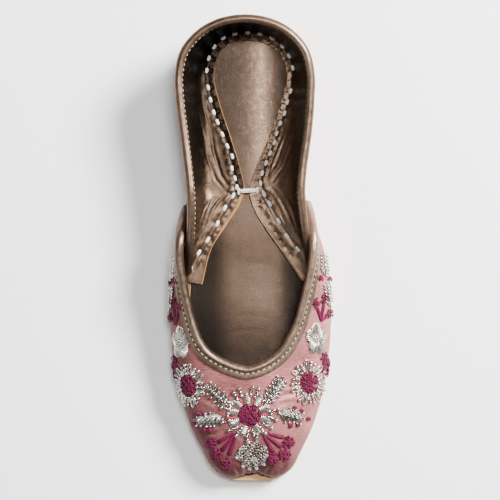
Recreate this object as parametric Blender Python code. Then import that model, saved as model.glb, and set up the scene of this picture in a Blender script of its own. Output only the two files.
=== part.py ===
# A woman's mojari (jutti), right foot, standing empty on its sole.
# +Z is up, the toe points along -Y and the outer side of the foot along -X. Lengths are in metres.
import bpy
import numpy as np

MM = 0.001

# Sizes of the shoe
LENGTH = 250.0 * MM
BALL_WIDTH = 88.0 * MM
VAMP_HEIGHT = 38.0 * MM
BACK_HEIGHT = 52.0 * MM

# Sole and insole
SOLE_THICKNESS = 3.5 * MM
SOLE_EDGE = 0.9 * MM
SOLE_BEVEL = 0.6 * MM
TOE_SPRING = 5.0 * MM
ARCH_LIFT = 1.0 * MM
INSOLE_THICKNESS = 2.5 * MM
INSOLE_BEVEL = 0.4 * MM

# Upper
WALL = 1.6 * MM
MARGIN_THICKNESS = 1.4 * MM
VAMP_MARGIN = 7.0 * MM
VAMP_TOE_MARGIN = 3.0 * MM
TOE_RISE = 15.0 * MM
SIDE_BULGE = 4.0 * MM
QUARTER_BULGE = 1.2 * MM
TOE_NOTCH = 2.4 * MM
TOE_NOTCH_WIDTH = 9.0 * MM
TIE_LIFT = 2.0 * MM
TURN_RADIUS = 3.6 * MM

# Bindings
BINDING_LEATHER = 0.6 * MM
BINDING_ROLL = 0.9 * MM
VAMP_BINDING_DEPTH = 6.2 * MM
QUARTER_BINDING_DEPTH = 3.2 * MM
VAMP_BINDING_INNER_DEPTH = 3.6 * MM

# Clearance between pieces that lie on one another
GAP = 0.3 * MM

# Heights above the ground under the shoe, worked out from the sizes
SOLE_TOP = SOLE_THICKNESS
UPPER_FOOT = SOLE_TOP + GAP
INSOLE_TOP = UPPER_FOOT + INSOLE_THICKNESS
VAMP_MARGIN_TOP = INSOLE_TOP + GAP + MARGIN_THICKNESS

# The feather line, where the upper meets the sole, from the toe to the heel.
# Columns: station and offset on the outer side, station and offset on the inner side.
# Stations are shares of LENGTH from the toe and offsets are shares of BALL_WIDTH.
FEATHER = (
    (0.003, 0.014, 0.003, 0.014),
    (0.004, -0.120, 0.004, 0.137),
    (0.023, -0.218, 0.024, 0.235),
    (0.060, -0.283, 0.062, 0.296),
    (0.106, -0.348, 0.106, 0.356),
    (0.168, -0.409, 0.168, 0.417),
    (0.230, -0.452, 0.230, 0.454),
    (0.301, -0.473, 0.301, 0.475),
    (0.368, -0.479, 0.368, 0.481),
    (0.434, -0.471, 0.434, 0.471),
    (0.497, -0.446, 0.497, 0.437),
    (0.554, -0.414, 0.554, 0.376),
    (0.607, -0.389, 0.607, 0.336),
    (0.644, -0.376, 0.644, 0.316),
    (0.689, -0.369, 0.689, 0.306),
    (0.752, -0.369, 0.752, 0.306),
    (0.823, -0.374, 0.823, 0.316),
    (0.885, -0.374, 0.885, 0.316),
    (0.928, -0.342, 0.928, 0.285),
    (0.967, -0.255, 0.967, 0.198),
    (0.997, -0.031, 0.997, -0.031),
)

# The vamp's upper edge, row by row with the feather line, from the toe to the ends of the wings.
# Columns: station, offset and height on the outer side, then on the inner side.
# Heights are shares of VAMP_HEIGHT.
VAMP_EDGE = (
    (0.248, -0.019, 0.79, 0.248, -0.019, 0.79),
    (0.252, -0.078, 0.79, 0.253, 0.040, 0.79),
    (0.260, -0.142, 0.79, 0.261, 0.094, 0.79),
    (0.271, -0.205, 0.79, 0.273, 0.145, 0.79),
    (0.283, -0.252, 0.80, 0.288, 0.189, 0.80),
    (0.304, -0.297, 0.82, 0.312, 0.232, 0.82),
    (0.334, -0.333, 0.84, 0.342, 0.274, 0.84),
    (0.378, -0.368, 0.88, 0.380, 0.307, 0.88),
    (0.425, -0.395, 0.93, 0.425, 0.340, 0.93),
    (0.471, -0.419, 0.98, 0.471, 0.369, 0.98),
    (0.520, -0.427, 0.98, 0.522, 0.387, 0.98),
    (0.560, -0.416, 0.76, 0.572, 0.373, 0.74),
    (0.594, -0.402, 0.34, 0.605, 0.351, 0.33),
)

# The quarter's upper edge, from its front end to the back of the heel, in rows from FIRST_QUARTER_ROW.
# Columns: station, offset and height on the outer side, then on the inner side.
# Heights are shares of BACK_HEIGHT.
QUARTER_EDGE = (
    (0.449, -0.388, 0.42, 0.462, 0.358, 0.42),
    (0.506, -0.370, 0.66, 0.515, 0.350, 0.66),
    (0.567, -0.358, 0.76, 0.571, 0.330, 0.76),
    (0.617, -0.360, 0.81, 0.620, 0.318, 0.81),
    (0.644, -0.366, 0.82, 0.644, 0.320, 0.82),
    (0.680, -0.377, 0.83, 0.680, 0.331, 0.83),
    (0.741, -0.399, 0.85, 0.741, 0.356, 0.85),
    (0.809, -0.423, 0.88, 0.809, 0.373, 0.88),
    (0.868, -0.429, 0.91, 0.868, 0.375, 0.91),
    (0.915, -0.394, 0.94, 0.915, 0.341, 0.94),
    (0.958, -0.283, 0.97, 0.958, 0.230, 0.97),
    (0.984, -0.028, 1.00, 0.984, -0.028, 1.00),
)

# The raw edge of the quarter's turned-in margin, row by row with the quarter's upper edge.
# Columns: station and offset on the outer side, then on the inner side.
RAW_EDGE = (
    (0.425, -0.303, 0.434, 0.308),
    (0.506, -0.240, 0.503, 0.175),
    (0.554, -0.152, 0.551, 0.079),
    (0.604, -0.064, 0.604, 0.001),
    (0.629, -0.042, 0.628, -0.013),
    (0.673, -0.063, 0.671, 0.021),
    (0.744, -0.124, 0.738, 0.099),
    (0.822, -0.195, 0.820, 0.178),
    (0.876, -0.228, 0.880, 0.214),
    (0.915, -0.216, 0.919, 0.190),
    (0.946, -0.160, 0.946, 0.115),
    (0.958, -0.026, 0.958, -0.026),
)

ROWS = len(FEATHER) - 1
WING_ROW = 12
FIRST_QUARTER_ROW = 9
TIE_ROW = 13
ARCH_STATIONS = (0.42, 0.74)
SPRING_STATION = 0.30


# Curves through rows
def place(station, offset, height=0.0):
    """A point of the shoe from its station along the length and its offset from the middle."""
    return (offset * BALL_WIDTH, (station - 0.5) * LENGTH, height)


def both_sides(rows, height_size=0.0):
    """The points of a table, from its last row on the inner side through the first row to the outer side."""
    half = len(rows[0]) // 2
    outer = [place(*row[:2], row[2] * height_size if half == 3 else 0.0) for row in rows]
    inner = [place(*row[half:half + 2], row[-1] * height_size if half == 3 else 0.0) for row in rows]
    return np.array(inner[:0:-1] + outer)


def along(points, at, closed=False):
    """The point of the smooth curve through these points at a place counted in rows."""
    count = len(points)
    step = int(np.floor(at)) if closed else min(int(np.floor(at)), count - 2)
    share = at - step

    def point(index):
        return points[index % count] if closed else points[min(max(index, 0), count - 1)]

    def slope(index):
        before, here, after = point(index - 1), point(index), point(index + 1)
        back = max(np.linalg.norm(here - before), 1e-9)
        ahead = max(np.linalg.norm(after - here), 1e-9)
        if back < 1e-8:
            return (after - here) / ahead
        if ahead < 1e-8:
            return (here - before) / back
        return ((here - before) / back * ahead + (after - here) / ahead * back) / (back + ahead)

    start, end = point(step), point(step + 1)
    span = np.linalg.norm(end - start)
    square, cube = share * share, share * share * share
    return (
        (2 * cube - 3 * square + 1) * start
        + (cube - 2 * square + share) * span * slope(step)
        + (3 * square - 2 * cube) * end
        + (cube - square) * span * slope(step + 1)
    )


def smooth_step(value, low, high):
    share = min(max((value - low) / (high - low), 0.0), 1.0)
    return share * share * (3 - 2 * share)


def unit(vector):
    return vector / max(np.linalg.norm(vector), 1e-12)


def feather_points():
    outer = [place(row[0], row[1]) for row in FEATHER]
    inner = [place(row[2], row[3]) for row in FEATHER]
    return np.array(outer + inner[-2:0:-1])


FEATHER_POINTS = feather_points()
VAMP_EDGE_POINTS = both_sides(VAMP_EDGE, VAMP_HEIGHT)
QUARTER_EDGE_POINTS = both_sides(QUARTER_EDGE[::-1], BACK_HEIGHT)
RAW_EDGE_POINTS = both_sides(RAW_EDGE[::-1])


def outline(row, inset=0.0):
    """The feather line at a row, moved inward by the inset. Rows run from the toe along the outer side."""
    point = along(FEATHER_POINTS, row % (2 * ROWS), closed=True)
    ahead = along(FEATHER_POINTS, (row + 0.05) % (2 * ROWS), closed=True)
    behind = along(FEATHER_POINTS, (row - 0.05) % (2 * ROWS), closed=True)
    direction = unit(ahead - behind)
    inward = np.array((-direction[1], direction[0], 0.0))
    inward = -inward if np.dot(inward, np.array((0.0, point[1] * 0.8, 0.0)) - point) < 0 else inward
    return point + inward * inset, inward


def lift(y):
    """How far the sole's underside stands off the ground at a distance along the shoe."""
    station = y / LENGTH + 0.5
    spring = max(0.0, 1.0 - station / SPRING_STATION)
    low, high = ARCH_STATIONS
    arch = np.sin(np.pi * min(max((station - low) / (high - low), 0.0), 1.0)) ** 2
    return TOE_SPRING * spring * spring + ARCH_LIFT * arch


def raised(point, height):
    """This plan position at a height above the lifted sole."""
    return np.array((point[0], point[1], height + lift(point[1])))


# Walls of the upper
def bezier(points, share):
    a, b, c, d = points
    rest = 1.0 - share
    return rest ** 3 * a + 3 * rest * rest * share * b + 3 * rest * share * share * c + share ** 3 * d


def vamp_side(row):
    return row if row >= 0 else 2 * ROWS + row


def vamp_foot(row):
    """The foot of the vamp's wall, drawn back at the middle of the toe where the cloth is gathered."""
    point, inward = outline(vamp_side(row))
    middle = along(FEATHER_POINTS, 0.0, closed=True)
    notch = TOE_NOTCH * np.exp(-((point[0] - middle[0]) / TOE_NOTCH_WIDTH) ** 2) if abs(row) < 2 else 0.0
    return point + inward * notch, inward


def vamp_wall(row, share):
    """The vamp's outer surface: row runs along the shoe, share from the sole to the upper edge."""
    foot, inward = vamp_foot(row)
    foot = raised(foot, UPPER_FOOT)
    edge = along(VAMP_EDGE_POINTS, row + WING_ROW)
    edge = edge + np.array((0.0, 0.0, lift(edge[1])))
    away = (foot - edge) * np.array((1.0, 1.0, 0.0))
    distance = np.linalg.norm(away)
    height = edge[2] - foot[2]
    wing = smooth_step(abs(row), 8.5, 11.0)
    reach = (0.56 * distance + 1.5 * MM) * (1 - wing) + 0.35 * distance * wing
    drop = min(0.2 * height, 5.5 * MM) * (1 - wing) + 0.3 * height * wing
    bulge = SIDE_BULGE * (1 - 0.5 * wing) * min(height / (20 * MM), 1.0)
    rise = min(TOE_RISE, 0.55 * height)
    low = foot - inward * bulge + np.array((0.0, 0.0, rise))
    high = edge + unit(away) * reach - np.array((0.0, 0.0, drop))
    high = high - inward * bulge * 0.5 * smooth_step(abs(row), 3.0, 7.0)
    return bezier((foot, low, high, edge), share)


def margin_width(row):
    """How far the vamp's bottom margin turns in over the insole. It runs out before the ends of the wings."""
    widening = smooth_step(abs(row), 4.0, 8.0)
    full = VAMP_TOE_MARGIN + (VAMP_MARGIN - VAMP_TOE_MARGIN) * widening
    return full + (GAP - full) * smooth_step(abs(row), WING_ROW - 2.8, WING_ROW - 1.8)


def side_row(row):
    """The row counted from the toe along either side."""
    return min(row, 2 * ROWS - row)


def quarter_inset(row):
    """How far the quarter's foot stands inside the feather line where the vamp wraps it, and how high it
    stands where it rests on the vamp's margin."""
    inside = 1.0 - smooth_step(side_row(row), WING_ROW + 0.1, WING_ROW + 0.9)
    over = 1.0 - smooth_step(side_row(row), WING_ROW - 1.4, WING_ROW - 0.8)
    return inside * (WALL + 2 * GAP), over * (VAMP_MARGIN_TOP + GAP - UPPER_FOOT)


def insole_inset(row):
    """The insole clears the upper's wall, and both walls where the wings overlap the quarter."""
    side = side_row(row)
    doubled = smooth_step(side, WING_ROW - 2.2, WING_ROW - 1.5)
    doubled = doubled * (1.0 - smooth_step(side, WING_ROW + 1.0, WING_ROW + 1.6))
    return WALL + 3 * GAP + doubled * (WALL + 2 * GAP)


def quarter_wall(row, share):
    """The quarter's outer surface, from the sole to its upper edge. Rows count from the outer front end."""
    inset, step = quarter_inset(row)
    foot, inward = outline(row, inset)
    foot = raised(foot, UPPER_FOOT + step)
    edge = along(QUARTER_EDGE_POINTS, 2 * ROWS - FIRST_QUARTER_ROW - row)
    edge = edge + np.array((0.0, 0.0, lift(edge[1])))
    height = edge[2] - foot[2]
    wrapped = 1.0 - smooth_step(side_row(row), WING_ROW + 0.2, WING_ROW + 2.0)
    fullness = QUARTER_BULGE * (1.0 - 2.0 * wrapped)
    low = foot - inward * fullness + np.array((0.0, 0.0, 0.36 * height))
    high = edge + (foot - edge) * 0.3 - inward * fullness * 0.5
    return bezier((foot, low, high, edge), share)


def wall_frame(wall, row, share, rows):
    """A point of a wall with its outward normal."""
    here = wall(row, share)
    step = 0.04
    row_low, row_high = max(row - step, rows[0]), min(row + step, rows[1])
    low, high = max(share - 0.01, 0.0), min(share + 0.01, 1.0)
    across = wall(row_high, share) - wall(row_low, share)
    up = wall(row, high) - wall(row, low)
    normal = unit(np.cross(across, up))
    _, inward = outline(vamp_side(row))
    return here, -normal if np.dot(normal, inward) > 0.05 or normal[2] < -0.5 else normal


def inner_face(wall, row, start, shares, limits):
    """Points of a wall's inner face, from its upper edge down to where the face starts."""
    points = []
    for share in shares:
        point, normal = wall_frame(wall, row, start + (1.0 - start) * share, limits)
        points.append(point - normal * WALL)
    return points


def share_at_height(wall, row, height):
    """Where along its rise a wall reaches this height above the lifted sole."""
    shares = np.linspace(0.0, 0.9, 60)
    heights = []
    for share in shares:
        point = wall(row, share)
        heights.append(point[2] - lift(point[1]))
    return float(np.interp(height, heights, shares))


# Meshes
def loft(name, rings, collection, material):
    """A closed body skinned over rings of equal count, with a cap at each end."""
    mesh = bpy.data.meshes.new(name)
    count = len(rings[0])
    points = [tuple(float(v) for v in point) for ring in rings for point in ring]
    faces = []
    for ring in range(len(rings) - 1):
        for index in range(count):
            after = (index + 1) % count
            start, end = ring * count, (ring + 1) * count
            faces.append((start + index, start + after, end + after, end + index))
    faces.append(tuple(range(count))[::-1])
    faces.append(tuple(range(len(points) - count, len(points))))
    mesh.from_pydata(points, [], faces)
    volume = sum(
        np.dot(points[face[0]], np.cross(points[face[i]], points[face[i + 1]]))
        for face in faces
        for i in range(1, len(face) - 1)
    )
    if volume < 0:
        mesh.flip_normals()
    for polygon in mesh.polygons:
        polygon.use_smooth = True
    mesh.set_sharp_from_angle(angle=0.75)
    mesh.materials.append(material)
    body = bpy.data.objects.new(name, mesh)
    collection.objects.link(body)
    return body


def surface_material(name, color, metallic, roughness):
    material = bpy.data.materials.new(name)
    material.use_nodes = True
    shader = material.node_tree.nodes["Principled BSDF"]
    shader.inputs["Base Color"].default_value = (*color, 1.0)
    shader.inputs["Metallic"].default_value = metallic
    shader.inputs["Roughness"].default_value = roughness
    return material


# Sole and insole
def slab_ring(row, inset, bottom, top, bevel):
    """A cross-section of a flat piece between its outer and inner outlines at one row."""
    left, _ = outline(row, inset)
    right, _ = outline(2 * ROWS - row, inset)
    across = unit(right - left)
    ring = []
    for share in (0.0, 0.5, 1.0):
        point = left + across * bevel + (right - left - 2 * across * bevel) * share
        ring.append(raised(point, top))
    ring.append(raised(right, top - bevel))
    ring.append(raised(right, bottom + bevel))
    for share in (1.0, 0.5, 0.0):
        point = left + across * bevel + (right - left - 2 * across * bevel) * share
        ring.append(raised(point, bottom))
    ring.append(raised(left, bottom + bevel))
    ring.append(raised(left, top - bevel))
    return ring


def build_outsole(collection, material):
    rows = np.concatenate((np.linspace(0.9, 4.0, 10), np.linspace(4.5, 17.0, 22), np.linspace(17.5, 19.85, 8)))
    rings = [slab_ring(row, -SOLE_EDGE, 0.0, SOLE_TOP, SOLE_BEVEL) for row in rows]
    return loft("outsole", rings, collection, material)


def build_insole(collection, material):
    rows = np.concatenate((np.linspace(1.55, 4.0, 7), np.linspace(4.5, 17.0, 22), np.linspace(17.5, 19.6, 7)))
    rings = [slab_ring(row, insole_inset(row), UPPER_FOOT, INSOLE_TOP, INSOLE_BEVEL) for row in rows]
    return loft("insole", rings, collection, material)


# Upper
def vamp_stations():
    return np.linspace(-WING_ROW, WING_ROW, 6 * WING_ROW + 1)


def quarter_stations():
    """Places of the quarter's sections, closer together round the heel."""
    outer = np.linspace(FIRST_QUARTER_ROW, ROWS - 3, 19)
    heel = np.linspace(ROWS - 2.75, ROWS + 2.75, 23)
    inner = np.linspace(ROWS + 3, 2 * ROWS - FIRST_QUARTER_ROW, 19)
    return np.concatenate((outer, heel, inner))


def build_vamp(collection, material):
    rings = []
    limits = (-WING_ROW, WING_ROW)
    for row in vamp_stations():
        outer = [vamp_wall(row, share) for share in (0.0, 0.12, 0.26, 0.42, 0.58, 0.72, 0.84, 0.93, 1.0)]
        start = share_at_height(vamp_wall, row, VAMP_MARGIN_TOP + 0.6 * MM)
        inner = inner_face(vamp_wall, row, start, (1.0, 0.93, 0.85, 0.75, 0.62, 0.45, 0.25, 0.0), limits)
        foot, inward = vamp_foot(row)
        heel = foot + inward * WALL
        raw = heel + inward * margin_width(row)
        margin = [
            raised(heel, VAMP_MARGIN_TOP),
            raised(raw, VAMP_MARGIN_TOP),
            raised(raw, INSOLE_TOP + GAP),
            raised(heel, INSOLE_TOP + GAP),
            raised(heel, UPPER_FOOT),
        ]
        rings.append(outer + inner + margin)
    return loft("upper_vamp", rings, collection, material)


def build_quarters(collection, material):
    rings = []
    limits = (FIRST_QUARTER_ROW, 2 * ROWS - FIRST_QUARTER_ROW)
    for row in quarter_stations():
        inset, step = quarter_inset(row)
        bottom = INSOLE_TOP + GAP + min(step, MARGIN_THICKNESS + GAP)
        top = bottom + MARGIN_THICKNESS
        outer = [quarter_wall(row, share) for share in (0, 0.2, 0.4, 0.6, 0.8, 0.93, 1.0)]
        start = share_at_height(quarter_wall, row, top + 4.0 * MM)
        inner = inner_face(quarter_wall, row, start, (1.0, 0.9, 0.78, 0.55, 0.28, 0.0), limits)
        foot, inward = outline(row, inset + WALL)
        raw = along(RAW_EDGE_POINTS, 2 * ROWS - FIRST_QUARTER_ROW - row)
        pull = TIE_LIFT * np.exp(-((side_row(row) - TIE_ROW) / 1.6) ** 2)
        direction = unit((raw - foot) * np.array((1.0, 1.0, 0.0)))
        corner = foot + direction * 0.2 * MM
        turn = foot + direction * TURN_RADIUS
        middle = (turn + raw) / 2
        fillet = [
            (inner[-1] * 0.36 + raised(corner, top) * 0.48 + raised(turn, top) * 0.16),
            (inner[-1] * 0.08 + raised(corner, top) * 0.42 + raised(turn, top) * 0.50),
        ]
        flange = [
            raised(middle, top + pull * 0.4),
            raised(raw, top + pull),
            raised(raw, bottom + pull),
            raised(middle, bottom + pull * 0.4),
            raised(corner, bottom),
        ]
        rings.append(outer + inner + fillet + flange + [raised(corner, UPPER_FOOT + step)])
    return loft("upper_quarters", rings, collection, material)


# Bindings
def edge_frame(wall, row, limits):
    """The upper edge of a wall: the point, the direction down the wall square to the edge, and the outward normal."""
    point, normal = wall_frame(wall, row, 1.0, limits)
    low, high = max(row - 0.1, limits[0]), min(row + 0.1, limits[1])
    tangent = unit(wall(high, 1.0) - wall(low, 1.0))
    down = unit(np.cross(normal, tangent))
    if np.dot(down, wall(row, 0.9) - point) < 0:
        down = -down
    return point, down, normal


def surface_samples(wall, limits):
    """Points and normals spread over the upper half of a wall, for laying the bindings on it."""
    points, normals = [], []
    for row in np.linspace(*limits, 8 * int(limits[1] - limits[0]) + 1):
        for share in np.linspace(0.5, 1.0, 26):
            point, normal = wall_frame(wall, row, share, limits)
            points.append(point)
            normals.append(normal)
    return np.array(points), np.array(normals)


def build_binding(name, wall, limits, stations, profile, collection, material):
    """A strip of leather wrapped over the upper edge of a wall. The profile's columns are the distance
    down the wall and the distance out from the wall's outer face."""
    points, normals = surface_samples(wall, limits)
    rings = []
    for row in stations:
        point, down, normal = edge_frame(wall, row, limits)
        tallness = np.linalg.norm(wall(row, 0.0) - point)
        fit = min(1.0, tallness / (max(d for d, _ in profile) + 3.5 * MM))
        ring = []
        for depth, out in profile:
            spot = point + down * depth * fit
            facing = normal
            if depth > 0:
                nearest = int(np.argmin(((points - spot) ** 2).sum(axis=1)))
                facing = normals[nearest]
                spot = spot - facing * np.dot(spot - points[nearest], facing)
            ring.append(spot + facing * out)
        rings.append(ring)
    return loft(name, rings, collection, material)


def binding_profile(depth, inner_depth, roll):
    """The section of a binding: an outer flap, a roll over the edge and an inner flap."""
    under = GAP
    over = GAP + BINDING_LEATHER
    bead = over + roll * 0.35
    inside = WALL + GAP
    back = inside + BINDING_LEATHER
    return (
        (depth * 0.66, under),
        (depth, under),
        (depth, over),
        (depth * 0.7, over),
        (roll * 3.2, over),
        (roll * 2.0, bead),
        (roll * 0.6, bead * 0.95),
        (-roll * 0.8, bead * 0.2),
        (-over, -WALL * 0.5),
        (-roll * 0.7, -WALL - bead * 0.5),
        (roll * 0.8, -back - roll * 0.15),
        (inner_depth, -back),
        (inner_depth, -inside),
        (inner_depth * 0.45, -inside),
        (-under, -inside),
        (-under, under),
        (depth * 0.33, under),
    )


def build_bindings(collection, vamp_material, quarter_material):
    vamp_limits = (-WING_ROW, WING_ROW)
    profile = binding_profile(VAMP_BINDING_DEPTH, VAMP_BINDING_INNER_DEPTH, BINDING_ROLL)
    stations = np.clip(vamp_stations(), -WING_ROW + 0.1, WING_ROW - 0.1)
    build_binding("vamp_binding", vamp_wall, vamp_limits, stations, profile, collection, vamp_material)
    quarter_limits = (FIRST_QUARTER_ROW, 2 * ROWS - FIRST_QUARTER_ROW)
    profile = binding_profile(QUARTER_BINDING_DEPTH, QUARTER_BINDING_DEPTH, BINDING_ROLL * 0.75)
    stations = quarter_stations()
    build_binding("quarter_binding", quarter_wall, quarter_limits, stations, profile, collection, quarter_material)


def main():
    for old in list(bpy.data.objects):
        bpy.data.objects.remove(old, do_unlink=True)
    scene = bpy.context.scene
    collection = bpy.data.collections.new("mojari_shoe")
    scene.collection.children.link(collection)
    tan = surface_material("outsole", (0.48, 0.24, 0.09), 0.0, 0.62)
    bronze = surface_material("insole", (0.30, 0.20, 0.14), 0.35, 0.42)
    satin = surface_material("upper_vamp", (0.52, 0.30, 0.30), 0.0, 0.45)
    quarter = surface_material("upper_quarters", (0.50, 0.29, 0.29), 0.0, 0.45)
    piping = surface_material("vamp_binding", (0.36, 0.25, 0.20), 0.5, 0.36)
    edging = surface_material("quarter_binding", (0.34, 0.24, 0.19), 0.5, 0.36)
    build_outsole(collection, tan)
    build_insole(collection, bronze)
    build_vamp(collection, satin)
    build_quarters(collection, quarter)
    build_bindings(collection, piping, edging)


main()
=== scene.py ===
# The dressed mojari shoe: satin, leather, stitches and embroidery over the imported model.
import math

import bpy
import numpy as np
from mathutils import Matrix, Vector, noise
from mathutils.bvhtree import BVHTree
from mathutils.kdtree import KDTree


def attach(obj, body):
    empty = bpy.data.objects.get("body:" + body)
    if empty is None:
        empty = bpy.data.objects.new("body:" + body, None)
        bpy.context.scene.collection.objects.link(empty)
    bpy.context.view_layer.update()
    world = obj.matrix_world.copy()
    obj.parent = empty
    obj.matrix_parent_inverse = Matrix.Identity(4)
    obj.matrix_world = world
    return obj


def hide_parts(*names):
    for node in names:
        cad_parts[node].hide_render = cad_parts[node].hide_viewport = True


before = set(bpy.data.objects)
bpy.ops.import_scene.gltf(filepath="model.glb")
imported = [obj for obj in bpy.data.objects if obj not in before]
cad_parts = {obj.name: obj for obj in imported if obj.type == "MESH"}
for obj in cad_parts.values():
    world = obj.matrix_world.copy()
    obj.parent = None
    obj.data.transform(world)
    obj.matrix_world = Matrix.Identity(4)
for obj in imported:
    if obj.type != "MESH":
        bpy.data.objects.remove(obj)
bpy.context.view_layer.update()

MM = 0.001

# Sizes of the shoe
LENGTH = 250.0 * MM
BALL_WIDTH = 88.0 * MM
VAMP_HEIGHT = 38.0 * MM
BACK_HEIGHT = 52.0 * MM

# Sole and insole
SOLE_THICKNESS = 3.5 * MM
SOLE_EDGE = 0.9 * MM
SOLE_BEVEL = 0.6 * MM
TOE_SPRING = 5.0 * MM
ARCH_LIFT = 1.0 * MM
INSOLE_THICKNESS = 2.5 * MM
INSOLE_BEVEL = 0.4 * MM

# Upper
WALL = 1.6 * MM
MARGIN_THICKNESS = 1.4 * MM
VAMP_MARGIN = 7.0 * MM
VAMP_TOE_MARGIN = 3.0 * MM
TOE_RISE = 15.0 * MM
SIDE_BULGE = 4.0 * MM
QUARTER_BULGE = 1.2 * MM
TOE_NOTCH = 2.4 * MM
TOE_NOTCH_WIDTH = 9.0 * MM
TIE_LIFT = 2.0 * MM

# Bindings
BINDING_LEATHER = 0.6 * MM
BINDING_ROLL = 0.9 * MM
VAMP_BINDING_DEPTH = 6.2 * MM
QUARTER_BINDING_DEPTH = 3.2 * MM
VAMP_BINDING_INNER_DEPTH = 3.6 * MM

# Clearance between pieces that lie on one another
GAP = 0.3 * MM

# Heights above the ground under the shoe, worked out from the sizes
SOLE_TOP = SOLE_THICKNESS
UPPER_FOOT = SOLE_TOP + GAP
INSOLE_TOP = UPPER_FOOT + INSOLE_THICKNESS
VAMP_MARGIN_TOP = INSOLE_TOP + GAP + MARGIN_THICKNESS

# The feather line, where the upper meets the sole, from the toe to the heel.
# Columns: station and offset on the outer side, station and offset on the inner side.
# Stations are shares of LENGTH from the toe and offsets are shares of BALL_WIDTH.
FEATHER = (
    (0.003, 0.014, 0.003, 0.014),
    (0.004, -0.120, 0.004, 0.137),
    (0.023, -0.218, 0.024, 0.235),
    (0.060, -0.283, 0.062, 0.296),
    (0.106, -0.348, 0.106, 0.356),
    (0.168, -0.409, 0.168, 0.417),
    (0.230, -0.452, 0.230, 0.454),
    (0.301, -0.473, 0.301, 0.475),
    (0.368, -0.479, 0.368, 0.481),
    (0.434, -0.471, 0.434, 0.471),
    (0.497, -0.446, 0.497, 0.437),
    (0.554, -0.414, 0.554, 0.376),
    (0.607, -0.389, 0.607, 0.336),
    (0.644, -0.376, 0.644, 0.316),
    (0.689, -0.369, 0.689, 0.306),
    (0.752, -0.369, 0.752, 0.306),
    (0.823, -0.374, 0.823, 0.316),
    (0.885, -0.374, 0.885, 0.316),
    (0.928, -0.342, 0.928, 0.285),
    (0.967, -0.255, 0.967, 0.198),
    (0.997, -0.031, 0.997, -0.031),
)

# The vamp's upper edge, row by row with the feather line, from the toe to the ends of the wings.
# Columns: station, offset and height on the outer side, then on the inner side.
# Heights are shares of VAMP_HEIGHT.
VAMP_EDGE = (
    (0.248, -0.019, 0.79, 0.248, -0.019, 0.79),
    (0.252, -0.078, 0.79, 0.253, 0.040, 0.79),
    (0.260, -0.142, 0.79, 0.261, 0.094, 0.79),
    (0.271, -0.205, 0.79, 0.273, 0.145, 0.79),
    (0.283, -0.252, 0.80, 0.288, 0.189, 0.80),
    (0.304, -0.297, 0.82, 0.312, 0.232, 0.82),
    (0.334, -0.333, 0.84, 0.342, 0.274, 0.84),
    (0.378, -0.368, 0.88, 0.380, 0.307, 0.88),
    (0.425, -0.395, 0.93, 0.425, 0.340, 0.93),
    (0.471, -0.419, 0.98, 0.471, 0.369, 0.98),
    (0.520, -0.427, 0.98, 0.522, 0.387, 0.98),
    (0.560, -0.416, 0.76, 0.572, 0.373, 0.74),
    (0.594, -0.402, 0.34, 0.605, 0.351, 0.33),
)

# The quarter's upper edge, from its front end to the back of the heel, in rows from FIRST_QUARTER_ROW.
# Columns: station, offset and height on the outer side, then on the inner side.
# Heights are shares of BACK_HEIGHT.
QUARTER_EDGE = (
    (0.449, -0.388, 0.42, 0.462, 0.358, 0.42),
    (0.506, -0.370, 0.66, 0.515, 0.350, 0.66),
    (0.567, -0.358, 0.76, 0.571, 0.330, 0.76),
    (0.617, -0.360, 0.81, 0.620, 0.318, 0.81),
    (0.644, -0.366, 0.82, 0.644, 0.320, 0.82),
    (0.680, -0.377, 0.83, 0.680, 0.331, 0.83),
    (0.741, -0.399, 0.85, 0.741, 0.356, 0.85),
    (0.809, -0.423, 0.88, 0.809, 0.373, 0.88),
    (0.868, -0.429, 0.91, 0.868, 0.375, 0.91),
    (0.915, -0.394, 0.94, 0.915, 0.341, 0.94),
    (0.958, -0.283, 0.97, 0.958, 0.230, 0.97),
    (0.984, -0.028, 1.00, 0.984, -0.028, 1.00),
)

# The raw edge of the quarter's turned-in margin, row by row with the quarter's upper edge.
# Columns: station and offset on the outer side, then on the inner side.
RAW_EDGE = (
    (0.425, -0.303, 0.434, 0.308),
    (0.506, -0.240, 0.503, 0.175),
    (0.554, -0.152, 0.551, 0.079),
    (0.604, -0.064, 0.604, 0.001),
    (0.629, -0.042, 0.628, -0.013),
    (0.673, -0.063, 0.671, 0.021),
    (0.744, -0.124, 0.738, 0.099),
    (0.822, -0.195, 0.820, 0.178),
    (0.876, -0.228, 0.880, 0.214),
    (0.915, -0.216, 0.919, 0.190),
    (0.946, -0.160, 0.946, 0.115),
    (0.958, -0.026, 0.958, -0.026),
)

ROWS = len(FEATHER) - 1
WING_ROW = 12
FIRST_QUARTER_ROW = 9
TIE_ROW = 13
ARCH_STATIONS = (0.42, 0.74)
SPRING_STATION = 0.30


# Curves through rows
def place(station, offset, height=0.0):
    """A point of the shoe from its station along the length and its offset from the middle."""
    return (offset * BALL_WIDTH, (station - 0.5) * LENGTH, height)


def both_sides(rows, height_size=0.0):
    """The points of a table, from its last row on the inner side through the first row to the outer side."""
    half = len(rows[0]) // 2
    outer = [place(*row[:2], row[2] * height_size if half == 3 else 0.0) for row in rows]
    inner = [place(*row[half:half + 2], row[-1] * height_size if half == 3 else 0.0) for row in rows]
    return np.array(inner[:0:-1] + outer)


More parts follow.
